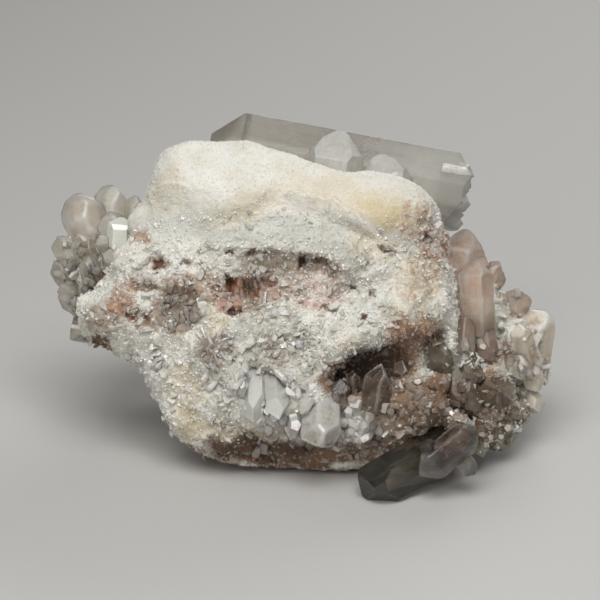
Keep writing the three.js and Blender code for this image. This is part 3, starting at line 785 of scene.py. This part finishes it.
UPPER_REAR_CLUSTER = [
    prism((7, 24, 26), (9.6, 40.8, 24), 12, spin=18, blunt=0.5),
    prism((22, 18, 26), (18.6, 35.4, 24), 12.6, spin=40, blunt=0.8),
    prism((-8, 22, 22), (-17, 35, 24), 6.4),
    prism((-10, 14, 21), (-17, 19, 36), 7.6, spin=12),
    prism((0, 12, 24), (-3, 14, 42), 9.2, spin=35, blunt=0.6),
    prism((11, 15, 24), (15, 18, 36), 5.4),
    prism((18, 12, 21), (26, 13, 35), 7.4, spin=20),
]
LEFT_REAR_CLUSTER = [
    prism((-22, -2, 20), (-38, 2, 46), 11, spin=12, blunt=0.6),
    prism((-30, 6, 18), (-42, 13, 29), 7.2, spin=30),
    prism((-32, -6, 17), (-46, -8, 28), 6.6, spin=8),
    prism((-24, 8, 22), (-27, 15, 34), 5.2),
    prism((-25, -10, 22), (-31, -16, 36), 7.4, spin=45),
]
RIGHT_REAR_CLUSTER = [
    prism((22, -4, 22), (34, 1, 50), 10, spin=25, blunt=0.6),
    prism((29, 2, 17), (41, 8, 29), 7, spin=15),
    prism((31, -11, 17), (43, -15, 30), 7.6, spin=40),
    prism((23, -15, 22), (26, -22, 37), 6.6),
    prism((21, 4, 21), (22, 9, 34), 5, spin=22),
]
LOWER_REAR_CLUSTER = [
    prism((-2, -8, 24), (-4, -10, 54), 12.5, spin=5, blunt=0.8),
    prism((6, -6, 27), (12, -3, 46), 7.4, spin=28),
    prism((-9, -5, 26), (-17, -3, 43), 6.8, spin=10),
    prism((8, -13, 27), (13, -16, 39), 5.2),
    prism((-9, -13, 27), (-14, -19, 42), 7, spin=50),
]
# Lumps that the crystals of a cluster stand on: centre, half-sizes, turn in degrees.
MOUNDS = [
    ((18, -21.5, -8), (11, 2.6, 6), 14),
    ((-45, 5, 14), (8, 11, 8), 15),
    ((42, -5, 12), (7, 9, 9), -12),
    ((49.5, -13, 10), (6.5, 8, 7), 0),
    ((42, -23, 3), (7, 9, 7.5), -10),
    ((4, 16, 22), (24, 9, 7), -8),
    ((-29, -2, 19), (12.5, 13, 8), 0),
    ((27, -8, 18), (12, 13, 8), 0),
    ((-1, -9, 27), (16, 9, 7), 0),
]
# Crags, banks and tongues that stand out from the front: x, h, half-sizes along, across and out,
# turn in degrees, and how far the middle lies below the surface.
CRAGS = [
    (-3.4, 13.4, 11, 2.6, 2.4, -5, 1.0), (-35.5, 18.6, 4, 3, 2.6, 40, 1.5),
    (-37.2, 9.9, 5.4, 3.6, 3, 25, 1.2), (-45, -3.4, 6, 4.2, 4.5, -35, 1.5),
    (16.7, -3.4, 5.4, 3, 2.6, 65, 1.4), (29.8, -1.2, 4, 3.4, 3, 0, 1.2), (23.4, 5.8, 5, 2.6, 2.4, -25, 1.2),
    (9.9, -9.2, 4.4, 1.6, 2.8, 34, 0.4), (4.6, -13.2, 3.2, 1.6, 1.8, 38, 0.6),
    (-27, -26, 4.5, 3, 2.4, -48, 1.2), (-18, -14.4, 4.5, 2.6, 2.0, 10, 1.2), (-6, -6, 6, 3.6, 2.2, 20, 1.4),
    (3, -20, 4, 4.6, 2.4, 10, 1.4), (-20, -31, 5, 2.2, 2.4, -25, 1.0), (27, -24, 5, 4, 2.6, 10, 1.2),
    (-28, 3.6, 5, 1.4, 1.6, -6, 0.7), (-13, 7.2, 5, 1.2, 1.4, 4, 0.6), (-19, -4.6, 1.6, 3.2, 1.8, 5, 0.7),
]
# Sunk places of the front, many of them moulds of lost crystals: x, h, half-widths, turn, depth.
PITS = [
    (-32, 7.9, 1.5, 1.7, 10, 2.4), (-25.9, 8.2, 1.1, 0.8, 0, 1.4), (-22.3, 7.9, 0.9, 0.8, 0, 1.2),
    (-15.6, 10.6, 1.4, 0.7, 0, 1.6), (-10.4, 10.5, 1.6, 0.8, 0, 2.0), (-15.6, 3.6, 1.3, 2.2, -4, 3.4),
    (-10.9, 2.4, 1.6, 3, -4, 1.6), (-7, 4, 2.2, 1.0, 6, 1.6), (-14.6, -2.6, 2, 1.2, 0, 2.2),
    (-18.6, 2.6, 1.3, 1.2, 30, 1.6), (0.6, 8.8, 1.0, 1.8, 0, 2.4), (4.6, 9, 2.2, 0.9, -15, 1.6),
    (12, 2.7, 1.0, 0.8, 0, 1.8), (14.2, -3.8, 0.9, 1.0, 0, 1.8), (16.4, 1.2, 0.8, 1.0, 20, 1.4),
    (6.6, -2, 1.8, 1.0, -20, 1.2), (-35, 3.2, 2.4, 1.2, -8, 1.6), (-37, -4, 3, 1.8, -10, 1.4),
    (-26.5, -2, 3.8, 4.8, 8, 0.7), (-18.6, -11, 3.6, 2.8, -20, 0.5), (29.3, 14.2, 0.9, 1.2, 0, 1.6),
    (27.6, 17.6, 1.2, 0.9, 30, 0.8), (-2, -8.6, 2.2, 1.4, 15, 1.0), (20, 10.8, 2.4, 0.9, -20, 1.2),
    (-5, -21, 3, 2.4, 30, 1.0), (-10, -36, 4, 1.4, -4, 1.4),
]
DEEPEST_PIT = max(pit[-1] for pit in PITS)
# Edges of banks and shelves: the line of the edge as x, h, with the raised side on its right hand,
# the height, and how far the raised side runs out.
LEDGES = [
    ([(-20, 14), (-15, 16.4), (-9, 18.2), (-1.6, 19), (3, 18), (7, 16), (10.4, 13.4), (14, 10)], 2.2, 3.5),
    ([(-2, 24.2), (4.6, 23.8), (10, 21.2), (13.6, 19), (16.4, 16.2), (19.2, 12.6)], 1.5, 4),
    ([(-34, 24.6), (-31, 26.4), (-26, 26.8), (-23.6, 25.6)], 0.8, 3),
    ([(13.6, 9.6), (8, 9.8), (0, 10.8), (-8.6, 11.6), (-16.4, 11.6)], 1.4, 2.5),
    ([(18, 11), (23, 8.6), (28.4, 2.8)], 1.8, 5), ([(-32.4, 13.6), (-34.6, 8.4), (-37.6, 6)], 1.2, 4),
    ([(-42, 8.4), (-37.6, 10.8), (-32.8, 13.6)], 1.0, 3),
    ([(5.6, -12), (8.4, -8), (13, -6), (20, -5.6)], 0.8, 3),
    ([(-24, -22), (-16, -20), (-9, -25)], 0.9, 4), ([(-14, -2.4), (-6, -0.6), (2, -4)], 0.9, 5),
]
TALLEST_LEDGE = max(height for _, height, _ in LEDGES)
# Stains, zones and painted shade of the front, each a torn ellipse: x, h, half-widths, turn in degrees,
# strength.
ZONES = {
    "cream": [
        (-11, 22, 13, 3.6, 25, 0.4), (8, 24, 16, 5, -22, 0.45), (19, 20.5, 11, 5, -18, 0.6),
        (19, 20, 7, 2.4, -22, 0.95), (-24, -28, 6, 4, -40, 0.6), (12, -9.5, 6, 2.2, 10, 0.4),
        (-30, 25, 7, 6, 0, 0.3), (25, -3, 8, 6, 10, 0.35), (27, 5, 6, 8, 0, 0.5), (16, 12, 8, 4, -25, 0.4),
        (-14, -31, 12, 4, -15, 0.6), (-26, -20, 6, 5, -50, 0.45), (-19, -5, 3, 4, 0, 0.45),
    ],
    "rust": [
        (27, 17.5, 5.6, 7, 20, 0.5), (-40, 0.5, 5, 5.4, -30, 0.78), (54.5, -5, 2, 8, 10, 0.6),
        (37, 13, 6, 6, 0, 0.75), (-36.5, 14, 3, 1.6, 0, 0.7), (25.5, -8.4, 7, 5.4, 20, 0.95),
        (45, -13, 4, 5, 0, 0.7), (-24, -18, 4, 3, -30, 0.4), (28, 6, 4, 6, 0, 0.45),
        (-20, 3, 14, 3.4, 0, 0.45), (-18.5, -28, 2.5, 1.6, -20, 0.5), (-46, 6, 3, 2, 0, 0.6),
    ],
    "rose": [
        (35.3, 11.7, 2.4, 1.2, 0, 0.9), (-8, 3, 17, 3.8, -3, 0.5), (29.5, 13, 3.8, 6, 20, 0.5),
        (4, 2.5, 8, 5.5, -20, 0.55), (-16, -1, 4, 3, 0, 0.75), (-33, 8, 2.4, 2.4, 0, 0.4),
        (22, 3, 7, 4, -20, 0.35), (36, 14, 5, 6, 0, 0.6), (-7, 4, 4, 1.8, 6, 0.6),
        (1.5, -18, 2.4, 3.6, 0, 0.35), (7, -25, 2, 4, 0, 0.4),
    ],
    "smoke": [
        (-44, -4, 6, 5, 0, 0.6), (-16, 2, 20, 4.6, 0, 0.6), (-28, -2, 5.5, 6.5, 10, 1.0),
        (-13, 1, 7, 6, 0, 0.8), (-2, 8, 14, 3, -6, 0.65), (-19.5, -11.5, 5, 4.6, 0, 0.75),
        (6, -27, 6, 5, 0, 0.35), (15, -21, 9, 3.6, 10, 0.8), (-48, -10, 5, 2, 5, 0.6),
        (12, 1, 4, 3, -20, 0.3), (24, -24, 11, 8, 10, 0.9), (-6, -13, 9, 6, 10, 0.4),
        (-35, -5, 3.6, 3, 0, 0.6), (34, -25, 5, 6, 0, 0.9), (0, -31, 20, 3.6, -2, 0.45),
    ],
    # Brown earth; along the lower edge of the front it is painted shade as well.
    "soil_and_shade": [
        (-11, 2.6, 3, 4, 0, 0.6), (-7, 4, 3, 1.6, 6, 0.5), (-31, 7.6, 1.8, 1.8, 0, 0.5),
        (-15.6, 3.6, 2, 3, 8, 0.6), (2.6, 8.6, 3.6, 1.8, -12, 0.45), (-36, 3, 3, 1.6, -8, 0.55),
        (-3, -35, 22, 3.6, -2, 0.85), (-36.5, -4, 3, 2, 0, 0.45), (16, -16.2, 12.5, 5.2, 14, 1.0),
        (25, -10, 6, 4.6, 20, 0.45), (26, -23, 9, 7, 0, 0.5), (-49, -11, 7, 2.4, 10, 0.8),
        (43, -24, 8, 10, 0, 0.6), (34, -33, 9, 6, 20, 0.6), (20, -33, 12, 4, 5, 0.6),
        (32, -19, 4, 4, 0, 0.7),
    ],
    # Painted shade in dark umber: under the bottom edge, deep in the hollow and in its corner, and low on the
    # left and right.
    "umber_shade": [
        (-10, -33.6, 13, 3, -4, 0.9), (14, -14.6, 8, 3.2, 14, 0.7), (31, -11, 4, 5, 0, 0.4),
        (-48, -10, 7, 2, 10, 0.5), (30, -30, 8, 3, 20, 0.4),
    ],
    # Frosted grey; the first two, on the banks below the cap, are painted shade.
    "frost_and_shade": [
        (-9, 15.6, 22, 4.6, -5, 0.9), (10, 13.4, 7, 4, -35, 0.9), (-34, 18, 6, 9, 10, 0.6),
        (-44, -3, 7, 6, 0, 0.9), (-9, -15, 16, 11, 0, 0.7), (14, -2, 8, 6, -30, 0.4),
        (8, -28, 10, 6, 0, 0.8),
    ],
}
# Spots of clear quartz, in the same terms.
CLEAR_SPOTS = [(-8, -15, 16, 11, 0, 0.8), (6, -27, 12, 6, 0, 1.0), (-34, 2, 6, 8, 0, 0.5)]
SWAY = (4.5, 2.2)  # how wide the sways of the zones' edges are, and how far they reach
FRAY = (1.7, 0.9)  # the same for the pits' edges
ROCK_FADE = (2, 12)  # the depths between which the front's stains fade on the rock
CLUSTER_FADE = (10, 22)  # the same on the crystals, which stand round it


# ---- places on the front ----
BEFORE_ALL = -60  # a depth in front of the whole cluster


def on_front(lump, x, h):
    """How deep into the leaning frame the lump's front lies at this place."""
    start, inside = place(x, h, BEFORE_ALL), place(x, h, 0)
    hit, where, _, _ = lump.ray_cast(start, (inside - start).normalized())
    return lean_coords(np.array([where]))[2][0] if hit else None


def lying_crystals(lump, patches):
    """Small crystals that lie partly sunk in the front of the lump."""
    crystals = []
    for number, (x, h, across, up, count, aim, swing, length, width, rise) in enumerate(patches):
        for k in range(count):
            def stray(index):
                return quirk(number * 7.3 + k * 1.7, index)
            turn = math.radians(aim + swing * stray(1))
            size = 0.7 + 0.3 * stray(2)
            foot = (x + across * stray(3), h + up * stray(4))
            out = min(0.95, rise * (1 + 0.7 * stray(8)))
            over = length * size * math.sqrt(1 - out * out)
            head = (foot[0] + over * math.cos(turn), foot[1] + over * math.sin(turn))
            ground, ahead = on_front(lump, *foot), on_front(lump, *head)
            if ground is None or ahead is None or abs(ground - ahead) > 0.8 * length:
                continue
            crystals.append(prism((*foot, ground + 0.6), (*head, ahead - length * size * out),
                                  width * (0.75 + 0.25 * stray(5)), spin=60 * stray(6), edge=0.04,
                                  dull=max(0, stray(7))))
    return crystals


def end_stubs(root, tip, width, count=16, sunk=10):
    """Worn stubs that fill the broken root end of a large crystal, their feet this deep in it."""
    foot, axis = Vector(root), (Vector(root) - Vector(tip)).normalized()
    across = axis.orthogonal().normalized()
    over = axis.cross(across)
    stubs = []
    for k in range(count):
        turn, reach = GOLDEN_ANGLE * k, 0.4 * width * math.sqrt((k + 0.5) / count)
        start = foot + reach * (math.cos(turn) * across + math.sin(turn) * over) - sunk * axis
        end = start + (7.6 + 1.6 * quirk(k, 1)) * axis
        stubs.append(prism(tuple(start), tuple(end), 4.6 + 1.2 * quirk(k, 2), spin=60 * quirk(k, 3),
                           worn=0.4, dull=max(0, quirk(k, 4))))
    return stubs


def mound(centre, size, turn):
    """A rounded lump in the leaning frame."""
    bpy.ops.mesh.primitive_ico_sphere_add(subdivisions=3, radius=1)
    lump = bpy.context.object
    lump.scale = (size[0] * MM, size[2] * MM, size[1] * MM)
    lump.rotation_euler = (0, -math.radians(turn), 0)
    settle(lump)
    lump.rotation_euler = (-LEAN, 0, 0)
    lump.location = place(*centre)
    return settle(lump)


def ledge_height(x, h):
    """0 to 1, how far the ledges raise a place of the front."""
    raised = np.zeros(len(x))
    for line, height, reach in LEDGES:
        nearest = np.full(len(x), np.inf)
        side, past = np.zeros(len(x)), np.zeros(len(x))
        for (ax, ah), (bx, bh) in zip(line, line[1:]):
            length = math.hypot(bx - ax, bh - ah)
            ux, uh = (bx - ax) / length, (bh - ah) / length
            along = (x - ax) * ux + (h - ah) * uh
            across = (x - ax) * uh - (h - ah) * ux
            over = np.maximum(np.maximum(-along, along - length), 0)
            away = np.hypot(over, across)
            closer = away < nearest
            nearest = np.where(closer, away, nearest)
            side, past = np.where(closer, across, side), np.where(closer, over, past)
        bank = smoothstep(side, -0.3, 0.4) * np.exp(-np.maximum(side, 0) / reach) * np.exp(-(past / 1.2) ** 2)
        raised = np.maximum(raised, height / TALLEST_LEDGE * bank)
    return raised


def cap_edge(x):
    """The h that the smooth cap reaches down to, at each x."""
    return 11.6 + 0.02 * (x + 36) - 2.4 * smoothstep(x, 4, 14) + 5 * smoothstep(x, 19, 29)


def right_slope(x, h):
    """0 to 1, where the front is smooth and sugary again, on its right slope."""
    return torn_ellipse(x, h, 25, 2, 7, 5.6, -20)


def turned(x, h, centre_x, centre_h, rx, rh, turn):
    """Places of the front in the frame of a turned ellipse, as shares of its half-widths."""
    t = math.radians(turn)
    along = ((x - centre_x) * math.cos(t) + (h - centre_h) * math.sin(t)) / rx
    across = (-(x - centre_x) * math.sin(t) + (h - centre_h) * math.cos(t)) / rh
    return along, across


def torn_ellipse(x, h, *ellipse):
    """1 in the middle of a turned ellipse, fading to 0 past its edge."""
    return 1 - smoothstep(np.hypot(*turned(x, h, *ellipse)), 0.55, 1.25)


def pit_depth(x, h):
    """0 to 1, how deep the pits sink a place of the front."""
    deep = np.zeros(len(x))
    for *ellipse, depth in PITS:
        along, across = turned(x, h, *ellipse)
        square = (np.abs(along) ** 3 + np.abs(across) ** 3) ** (1 / 3)
        deep = np.maximum(deep, depth / DEEPEST_PIT * (1 - smoothstep(square, 0.75, 1.2)))
    return deep


def painted(spots, x, h):
    """The strongest of these spots at each place of the front."""
    mask = np.zeros(len(x))
    for *ellipse, strength in spots:
        mask = np.maximum(mask, strength * torn_ellipse(x, h, *ellipse))
    return mask


def stains_at(co, near, far):
    """The stains, zones and painted shade at each point, from where it lies on the leaning front, fading
    between two depths.
    """
    x, h, d = lean_coords(co)
    x, h = strayed(x, h, co, *SWAY)
    front = 1 - smoothstep(d, near, far)
    return {kind: painted(spots, x, h) * front for kind, spots in ZONES.items()}


def paint_masks(rock):
    """Writes the rock's stains, zones and painted shade as masks."""
    co = coords(rock)
    x, h, d = lean_coords(co)
    wx, wh = strayed(x, h, co, *SWAY)
    front = 1 - smoothstep(d, *ROCK_FADE)
    rear = 1 - front
    masks = stains_at(co, *ROCK_FADE)
    broad = swell(co, 9)
    masks["cream"] = np.maximum(masks["cream"], rear * smoothstep(broad, 0.05, 0.5) * 0.5)
    masks["rust"] = np.maximum(masks["rust"], rear * smoothstep(-broad, 0.2, 0.6) * 0.45)
    # Painted shade: the faces that look down, low on the lump, get the brown of earth.
    painted_underside_shade = smoothstep(-normals(rock)[:, 2], 0.45, 0.95)
    masks["soil_and_shade"] = np.maximum(masks["soil_and_shade"], 0.8 * painted_underside_shade * smoothstep(-h, 5, 25))
    # How sunk each place lies among its neighbours, for the painted shade of its crevices.
    masks["crevice_shade"] = relief(rock, 6) / 0.5
    masks["pit"] = pit_depth(*strayed(x, h, co, *FRAY)) * front
    above = wh - cap_edge(x)
    cap = 0.45 * smoothstep(above, -2, 2) + 0.55 * smoothstep(above, 3, 11)
    masks["cap"] = np.maximum(cap, 0.75 * right_slope(wx, wh)) * front
    bare = np.maximum(0.65 * masks["smoke"], 0.9 * masks["pit"])
    masks["grit"] = (1 - masks["cap"]) * front * (1 - bare) * clear_of_ground(co, 1.2)
    clear = np.maximum(masks["smoke"], painted(CLEAR_SPOTS, wx, wh) * front)
    glassy = swell(co, 5, (7, 3, 1)) + 0.6 * clear
    masks["glassy"] = smoothstep(glassy, 0.25, 0.5) * masks["grit"] * (1 - masks["pit"])
    masks["grown"] = np.maximum(masks["glassy"], 0.12 * masks["grit"]) * clear_of_ground(co, 3)
    sides = smoothstep(np.abs(x + 2), 36, 42) * smoothstep(d, -6, -1) * (1 - smoothstep(d, 12, 18))
    masks["flank"] = sides * clear_of_ground(co, 4)
    masks["rear"] = rear * smoothstep(d, 13, 20) * clear_of_ground(co, 4)
    for name, values in masks.items():
        write_mask(rock, name, np.clip(values, 0, 1))


# ---- the rock ----
ROCK_VOXEL = 1.22  # millimetres; the rock's front is divided more finely afterwards


def rough_texture(name, kind, size, **values):
    texture = bpy.data.textures.new(name, kind)
    texture.noise_scale = size * MM
    for key, value in values.items():
        setattr(texture, key, value)
    return texture


def displace(obj, texture, height, group=None, middle=0.5):
    modify(obj, "DISPLACE", texture=texture, texture_coords="LOCAL", strength=height * MM,
           mid_level=middle, vertex_group=group or "")


def vertex_group(obj, name, weights, steps=20):
    """Weights from 0 to 1 as a vertex group, rounded to this many steps."""
    group = obj.vertex_groups.new(name=name)
    nearest = np.round(np.clip(weights, 0, 1) * steps).astype(int)
    for step in range(1, steps + 1):
        group.add(np.nonzero(nearest == step)[0].tolist(), step / steps, "REPLACE")


def divide(obj, cuts, nearest, farthest):
    """Divides the faces whose depth into the lump lies in this range."""
    _, _, depth = lean_coords(coords(obj))
    edit(obj)
    bpy.ops.mesh.select_all(action="DESELECT")
    leave_edit()
    chosen = (depth > nearest) & (depth < farthest)
    corner = np.empty(len(obj.data.loops), np.int32)
    obj.data.loops.foreach_get("vertex_index", corner)
    starts = np.empty(len(obj.data.polygons), np.int32)
    obj.data.polygons.foreach_get("loop_start", starts)
    inside = np.logical_and.reduceat(chosen[corner], starts)
    obj.data.polygons.foreach_set("select", inside)
    edit_kept(obj)
    bpy.ops.mesh.subdivide(number_cuts=cuts)
    leave_edit()


def build_rock(material):
    """The whole lump with the mounds of its clusters and the crags of its front, rounded, raised and
    sunk where the front has banks and pits, then roughened ever more finely."""
    lump = copy_of(frame["nodes"]["matrix"], "lump")
    edit(lump)
    bpy.ops.mesh.remove_doubles(threshold=1e-6)
    leave_edit()
    crags = [((x, h, on_front(lump, x, h) + sunk), (along, across, out), turn)
             for x, h, along, across, out, turn, sunk in CRAGS]
    rock = join("matrix_rock", [lump] + [mound(*m) for m in MOUNDS + crags])
    modify(rock, "REMESH", mode="VOXEL", voxel_size=ROCK_VOXEL * MM)
    modify(rock, "SMOOTH", factor=0.5, iterations=5)
    divide(rock, 2, -math.inf, 1)
    divide(rock, 1, 1, 12)
    modify(rock, "SMOOTH", factor=0.5, iterations=3)
    modify(rock, "DISPLACE", strength=0.45 * MM, mid_level=0)  # about what the smoothing took off
    co = coords(rock)
    x, h, d = lean_coords(co)
    front, outermost = 1 - smoothstep(d, *ROCK_FADE), d < 4
    cap = smoothstep(h - cap_edge(x), -2, 2) * front
    vertex_group(rock, "broken", 1 - np.maximum(0.9 * cap, 0.6 * right_slope(x, h) * outermost))
    vertex_group(rock, "pits", pit_depth(*strayed(x, h, co, *FRAY)) * front)
    vertex_group(rock, "smooth", cap)
    away = 0.9 * sway(co, 3)
    vertex_group(rock, "banks", ledge_height(x + away[:, 0], h + away[:, 2]) * outermost)
    modify(rock, "DISPLACE", strength=TALLEST_LEDGE * MM, mid_level=0, vertex_group="banks")
    displace(rock, rough_texture("knobs", "CLOUDS", 5, noise_depth=3), 1.4, "broken")
    displace(rock, rough_texture("swells", "CLOUDS", 5.5, noise_depth=1), 0.5, "smooth")
    displace(rock, rough_texture("blocks", "VORONOI", 2.2, distance_metric="DISTANCE"), 0.7, "broken", 0.35)
    modify(rock, "DISPLACE", strength=-DEEPEST_PIT * MM, mid_level=0, vertex_group="pits")
    displace(rock, rough_texture("crumbs", "CLOUDS", 1.3, noise_depth=2), 0.6, "broken")
    displace(rock, rough_texture("grain", "CLOUDS", 0.9, noise_depth=1), 0.42)
    cut_at_ground(rock)
    rock.data.materials.clear()
    rock.data.materials.append(material)
    paint_masks(rock)
    rock.vertex_groups.clear()
    pick(rock)
    bpy.ops.object.shade_smooth()
    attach(rock, "root")
    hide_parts("matrix")
    return rock


# ---- what grows on the rock ----
def grain_kinds():
    """Small broken grains of quartz, one millimetre wide."""
    kinds = []
    for i in range(4):
        bpy.ops.mesh.primitive_cube_add(size=0.8 * MM)
        grain = added(f"grain_kind_{i}")
        edit(grain)
        out = Vector((quirk(i, 1), quirk(i, 6), quirk(i, 10) + 0.6)).normalized()
        halve(out * 0.36 * MM, out)
        leave_edit()
        grain.scale = (1 + 0.3 * quirk(i, 20), 1 + 0.3 * quirk(i, 21), 1)
        kinds.append(settle(grain))
    return kinds


def shard_kinds():
    """Sharp broken bits of quartz, one millimetre wide."""
    kinds = []
    for i in range(6):
        bpy.ops.mesh.primitive_cube_add(size=1.1 * MM)
        shard = added(f"shard_kind_{i}")
        edit(shard)
        for k in range(5):
            out = Vector((quirk(i, k), quirk(i, k + 20), quirk(i, k + 40))).normalized()
            halve(out * (0.27 + 0.1 * quirk(i, k + 60)) * MM, out)
        leave_edit()
        shard.scale = (1, 0.65, 1.35)
        kinds.append(settle(shard))
    return kinds


def point_kinds():
    """Small crystal points, one millimetre long, with their feet below the ground."""
    across, up = math.sin(math.radians(QUARTZ_SLOPE)), math.cos(math.radians(QUARTZ_SLOPE))
    kinds = []
    for i, (thick, sides) in enumerate([(0.5, 6), (0.62, 6), (0.38, 6), (0.75, 5)]):
        bpy.ops.mesh.primitive_cylinder_add(vertices=sides, radius=thick / 2 * MM, depth=1.4 * MM)
        point = added(f"point_kind_{i}")
        point.location.z = 0.3 * MM
        settle(point)
        edit(point)
        end_faces = 3 if i % 2 else 6
        for k in range(end_faces):
            turn = k * math.tau / end_faces + 0.2
            out = (across * math.cos(turn), across * math.sin(turn), up)
            halve((0, 0, (1 + 0.12 * quirk(i, k)) * MM), out)
        leave_edit()
        kinds.append(point)
    return kinds


def kind_collection(name, kinds):
    box = bpy.data.collections.new(name)
    for kind in kinds:
        for home in list(kind.users_collection):
            home.objects.unlink(kind)
        box.objects.link(kind)
    return box


def scatter(name, ground, kinds, material, mask, spacing, size, tilt, seed, slot):
    """Copies of the kinds, strewn over the ground where the mask allows and joined into one piece.
    spacing is the least distance between two in millimetres, size their smallest and largest
    scale, and tilt how far they lean from the ground's normal."""
    piece = copy_of(ground, name)
    tree = bpy.data.node_groups.new(name + "_growth", "GeometryNodeTree")
    tree.interface.new_socket("Geometry", in_out="INPUT", socket_type="NodeSocketGeometry")
    tree.interface.new_socket("Geometry", in_out="OUTPUT", socket_type="NodeSocketGeometry")
    n = Nodes(tree)
    source, result = tree.nodes.new("NodeGroupInput"), tree.nodes.new("NodeGroupOutput")
    share = n.add("GeometryNodeInputNamedAttribute", {"data_type": "FLOAT"}, Name=mask).outputs["Attribute"]
    strewn = n.add("GeometryNodeDistributePointsOnFaces", {"distribute_method": "POISSON"},
                   Mesh=source.outputs[0], Distance_Min=spacing * MM,
                   Density_Max=1.2 / (spacing * MM) ** 2, Density_Factor=share, Seed=seed)
    chosen = n.add("GeometryNodeCollectionInfo", None, Collection=kinds, Separate_Children=True)
    lean = n.add("FunctionNodeRandomValue", {"data_type": "FLOAT_VECTOR"}, _0=(-tilt, -tilt, 0),
                 _1=(tilt, tilt, math.tau), Seed=seed + 1).outputs["Value"]
    lean = n.add("FunctionNodeEulerToRotation", None, Euler=lean).outputs["Rotation"]
    turned = n.add("FunctionNodeRotateRotation", {"rotation_space": "LOCAL"},
                   Rotation=strewn.outputs["Rotation"], Rotate_By=lean).outputs["Rotation"]
    even = n.add("FunctionNodeRandomValue", {"data_type": "FLOAT"}, _2=0.0, _3=1.0, Seed=seed + 2).outputs[1]
    mostly_small = n.math("POWER", even, 2.2)
    scale = n.add("ShaderNodeMapRange", None, Value=mostly_small, To_Min=size[0],
                  To_Max=size[1]).outputs["Result"]
    grown = n.add("GeometryNodeInstanceOnPoints", None, Points=strewn.outputs["Points"],
                  Instance=chosen.outputs["Instances"], Pick_Instance=True, Rotation=turned, Scale=scale)
    marked = n.add("GeometryNodeStoreNamedAttribute", {"data_type": "FLOAT", "domain": "INSTANCE"},
                   Geometry=grown.outputs["Instances"], Name="speck", Value=even)
    real = n.add("GeometryNodeRealizeInstances", None, Geometry=marked.outputs["Geometry"])
    made = n.add("GeometryNodeSetMaterial", None, Geometry=real.outputs["Geometry"], Material=material)
    n.feed(made.outputs["Geometry"], result.inputs[0])
    modify(piece, "NODES", node_group=tree)
    piece.data.name = name
    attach(piece, "root")
    return piece


# ---- the cluster ----
build_camera()
build_light()
build_floor()
finish = build_materials()
rock = build_rock(finish["rock"])

CRYSTAL_PIECES = [
    ("large_prism", "veiled", LARGE_PRISM, "clear_quartz"),
    ("bottom_prism", "dark", BOTTOM_PRISM, "smoky_quartz"),
    ("face_point_left", "icy", LEFT_POINT, "clear_quartz"),
    ("face_point_middle", "icy", MIDDLE_POINT, "clear_quartz"),
    ("face_point_large", "icy", LARGE_POINT, "clear_quartz"),
    ("hooded_crystal", "glassy", HOODED, "clear_quartz"),
    ("hollow_crust", "honey", HOLLOW_CRUST, "clear_quartz"),
    ("left_cluster", "pearly", LEFT_CLUSTER, "clear_quartz"),
    ("right_cluster", "rosy", RIGHT_CLUSTER, "rosy_quartz"),
    ("right_block", "block", RIGHT_BLOCK, "milky_quartz"),
    ("lower_right_cluster", "smoky", LOWER_RIGHT_CLUSTER, "smoky_quartz"),
    ("upper_rear_cluster", "snowy", UPPER_REAR_CLUSTER, "clear_quartz"),
    ("left_rear_cluster", "clear", LEFT_REAR_CLUSTER, "clear_quartz"),
    ("right_rear_cluster", "clear", RIGHT_REAR_CLUSTER, "clear_quartz"),
    ("lower_rear_cluster", "clear", LOWER_REAR_CLUSTER, "clear_quartz"),
]
CRUSTED = {"lower_right_cluster": 0.8}  # sugary almost to the tips
pieces = {}
for node, look, crystals, slot in CRYSTAL_PIECES:
    pieces[node] = crystal_group(node + "_crystals", finish[look], crystals, node,
                                 CRUSTED.get(node, CRUST))

# Small crystals that no node has.
crystal_group("small_face_points", finish["icy"], FACE_POINTS + lying_crystals(rock, GLASSY_HEAP))
crystal_group("face_chips", finish["chips"], lying_crystals(rock, GLASSY_PATCHES))
for node, patches in SPROUTS.items():
    crystal_group(node + "_sprouts", finish["smoky" if node == "lower_right_cluster" else "pearly"],
                  lying_crystals(pieces[node], patches))
large = LARGE_PRISM[0]
crystal_group("large_prism_end", finish["snowy"], end_stubs(large["root"], large["tip"], large["width"]))
crystal_group("lip_points", finish["window"], LIP_POINTS)
crystal_group("white_facet", finish["white"], HIGHLIGHT_FACET)
crystal_group("hooded_core", finish["core"], HOODED_CORE)

# Sugar and druse.
grains = kind_collection("grain_kinds", grain_kinds())
shards = kind_collection("shard_kinds", shard_kinds())
points = kind_collection("point_kinds", point_kinds())
# Piece, its ground, what it is made of, its look and mask, least spacing, sizes, lean, seed and slot.
STREWN = [
    ("cap_sugar", rock, grains, "sugar", "cap", 0.45, (0.22, 0.46), 1.2, 1, "milky_quartz"),
    ("front_sugar", rock, grains, "sugar", "grit", 0.52, (0.28, 0.9), 0.9, 2, "milky_quartz"),
    ("front_druse", rock, shards, "druse", "grown", 0.85, (0.6, 2.1), 1.5, 3, "milky_quartz"),
    ("flank_druse", rock, points, "druse", "flank", 2.0, (0.8, 3.4), 0.8, 5, "clear_quartz"),
    ("rear_druse", rock, points, "druse", "rear", 1.3, (1.5, 5.5), 0.6, 4, "clear_quartz"),
]
for node, seed in (("left_cluster", 6), ("right_block", 8), ("lower_right_cluster", 9)):
    STREWN.append((node + "_sugar", pieces[node], shards, "druse", "foot", 0.6, (0.3, 1.2), 1.2, seed,
                   "clear_quartz"))
for name, ground, kinds, look, *terms in STREWN:
    scatter(name, ground, kinds, finish[look], *terms)
for kinds in (grains, shards, points):
    for kind in list(kinds.objects):
        bpy.data.objects.remove(kind)
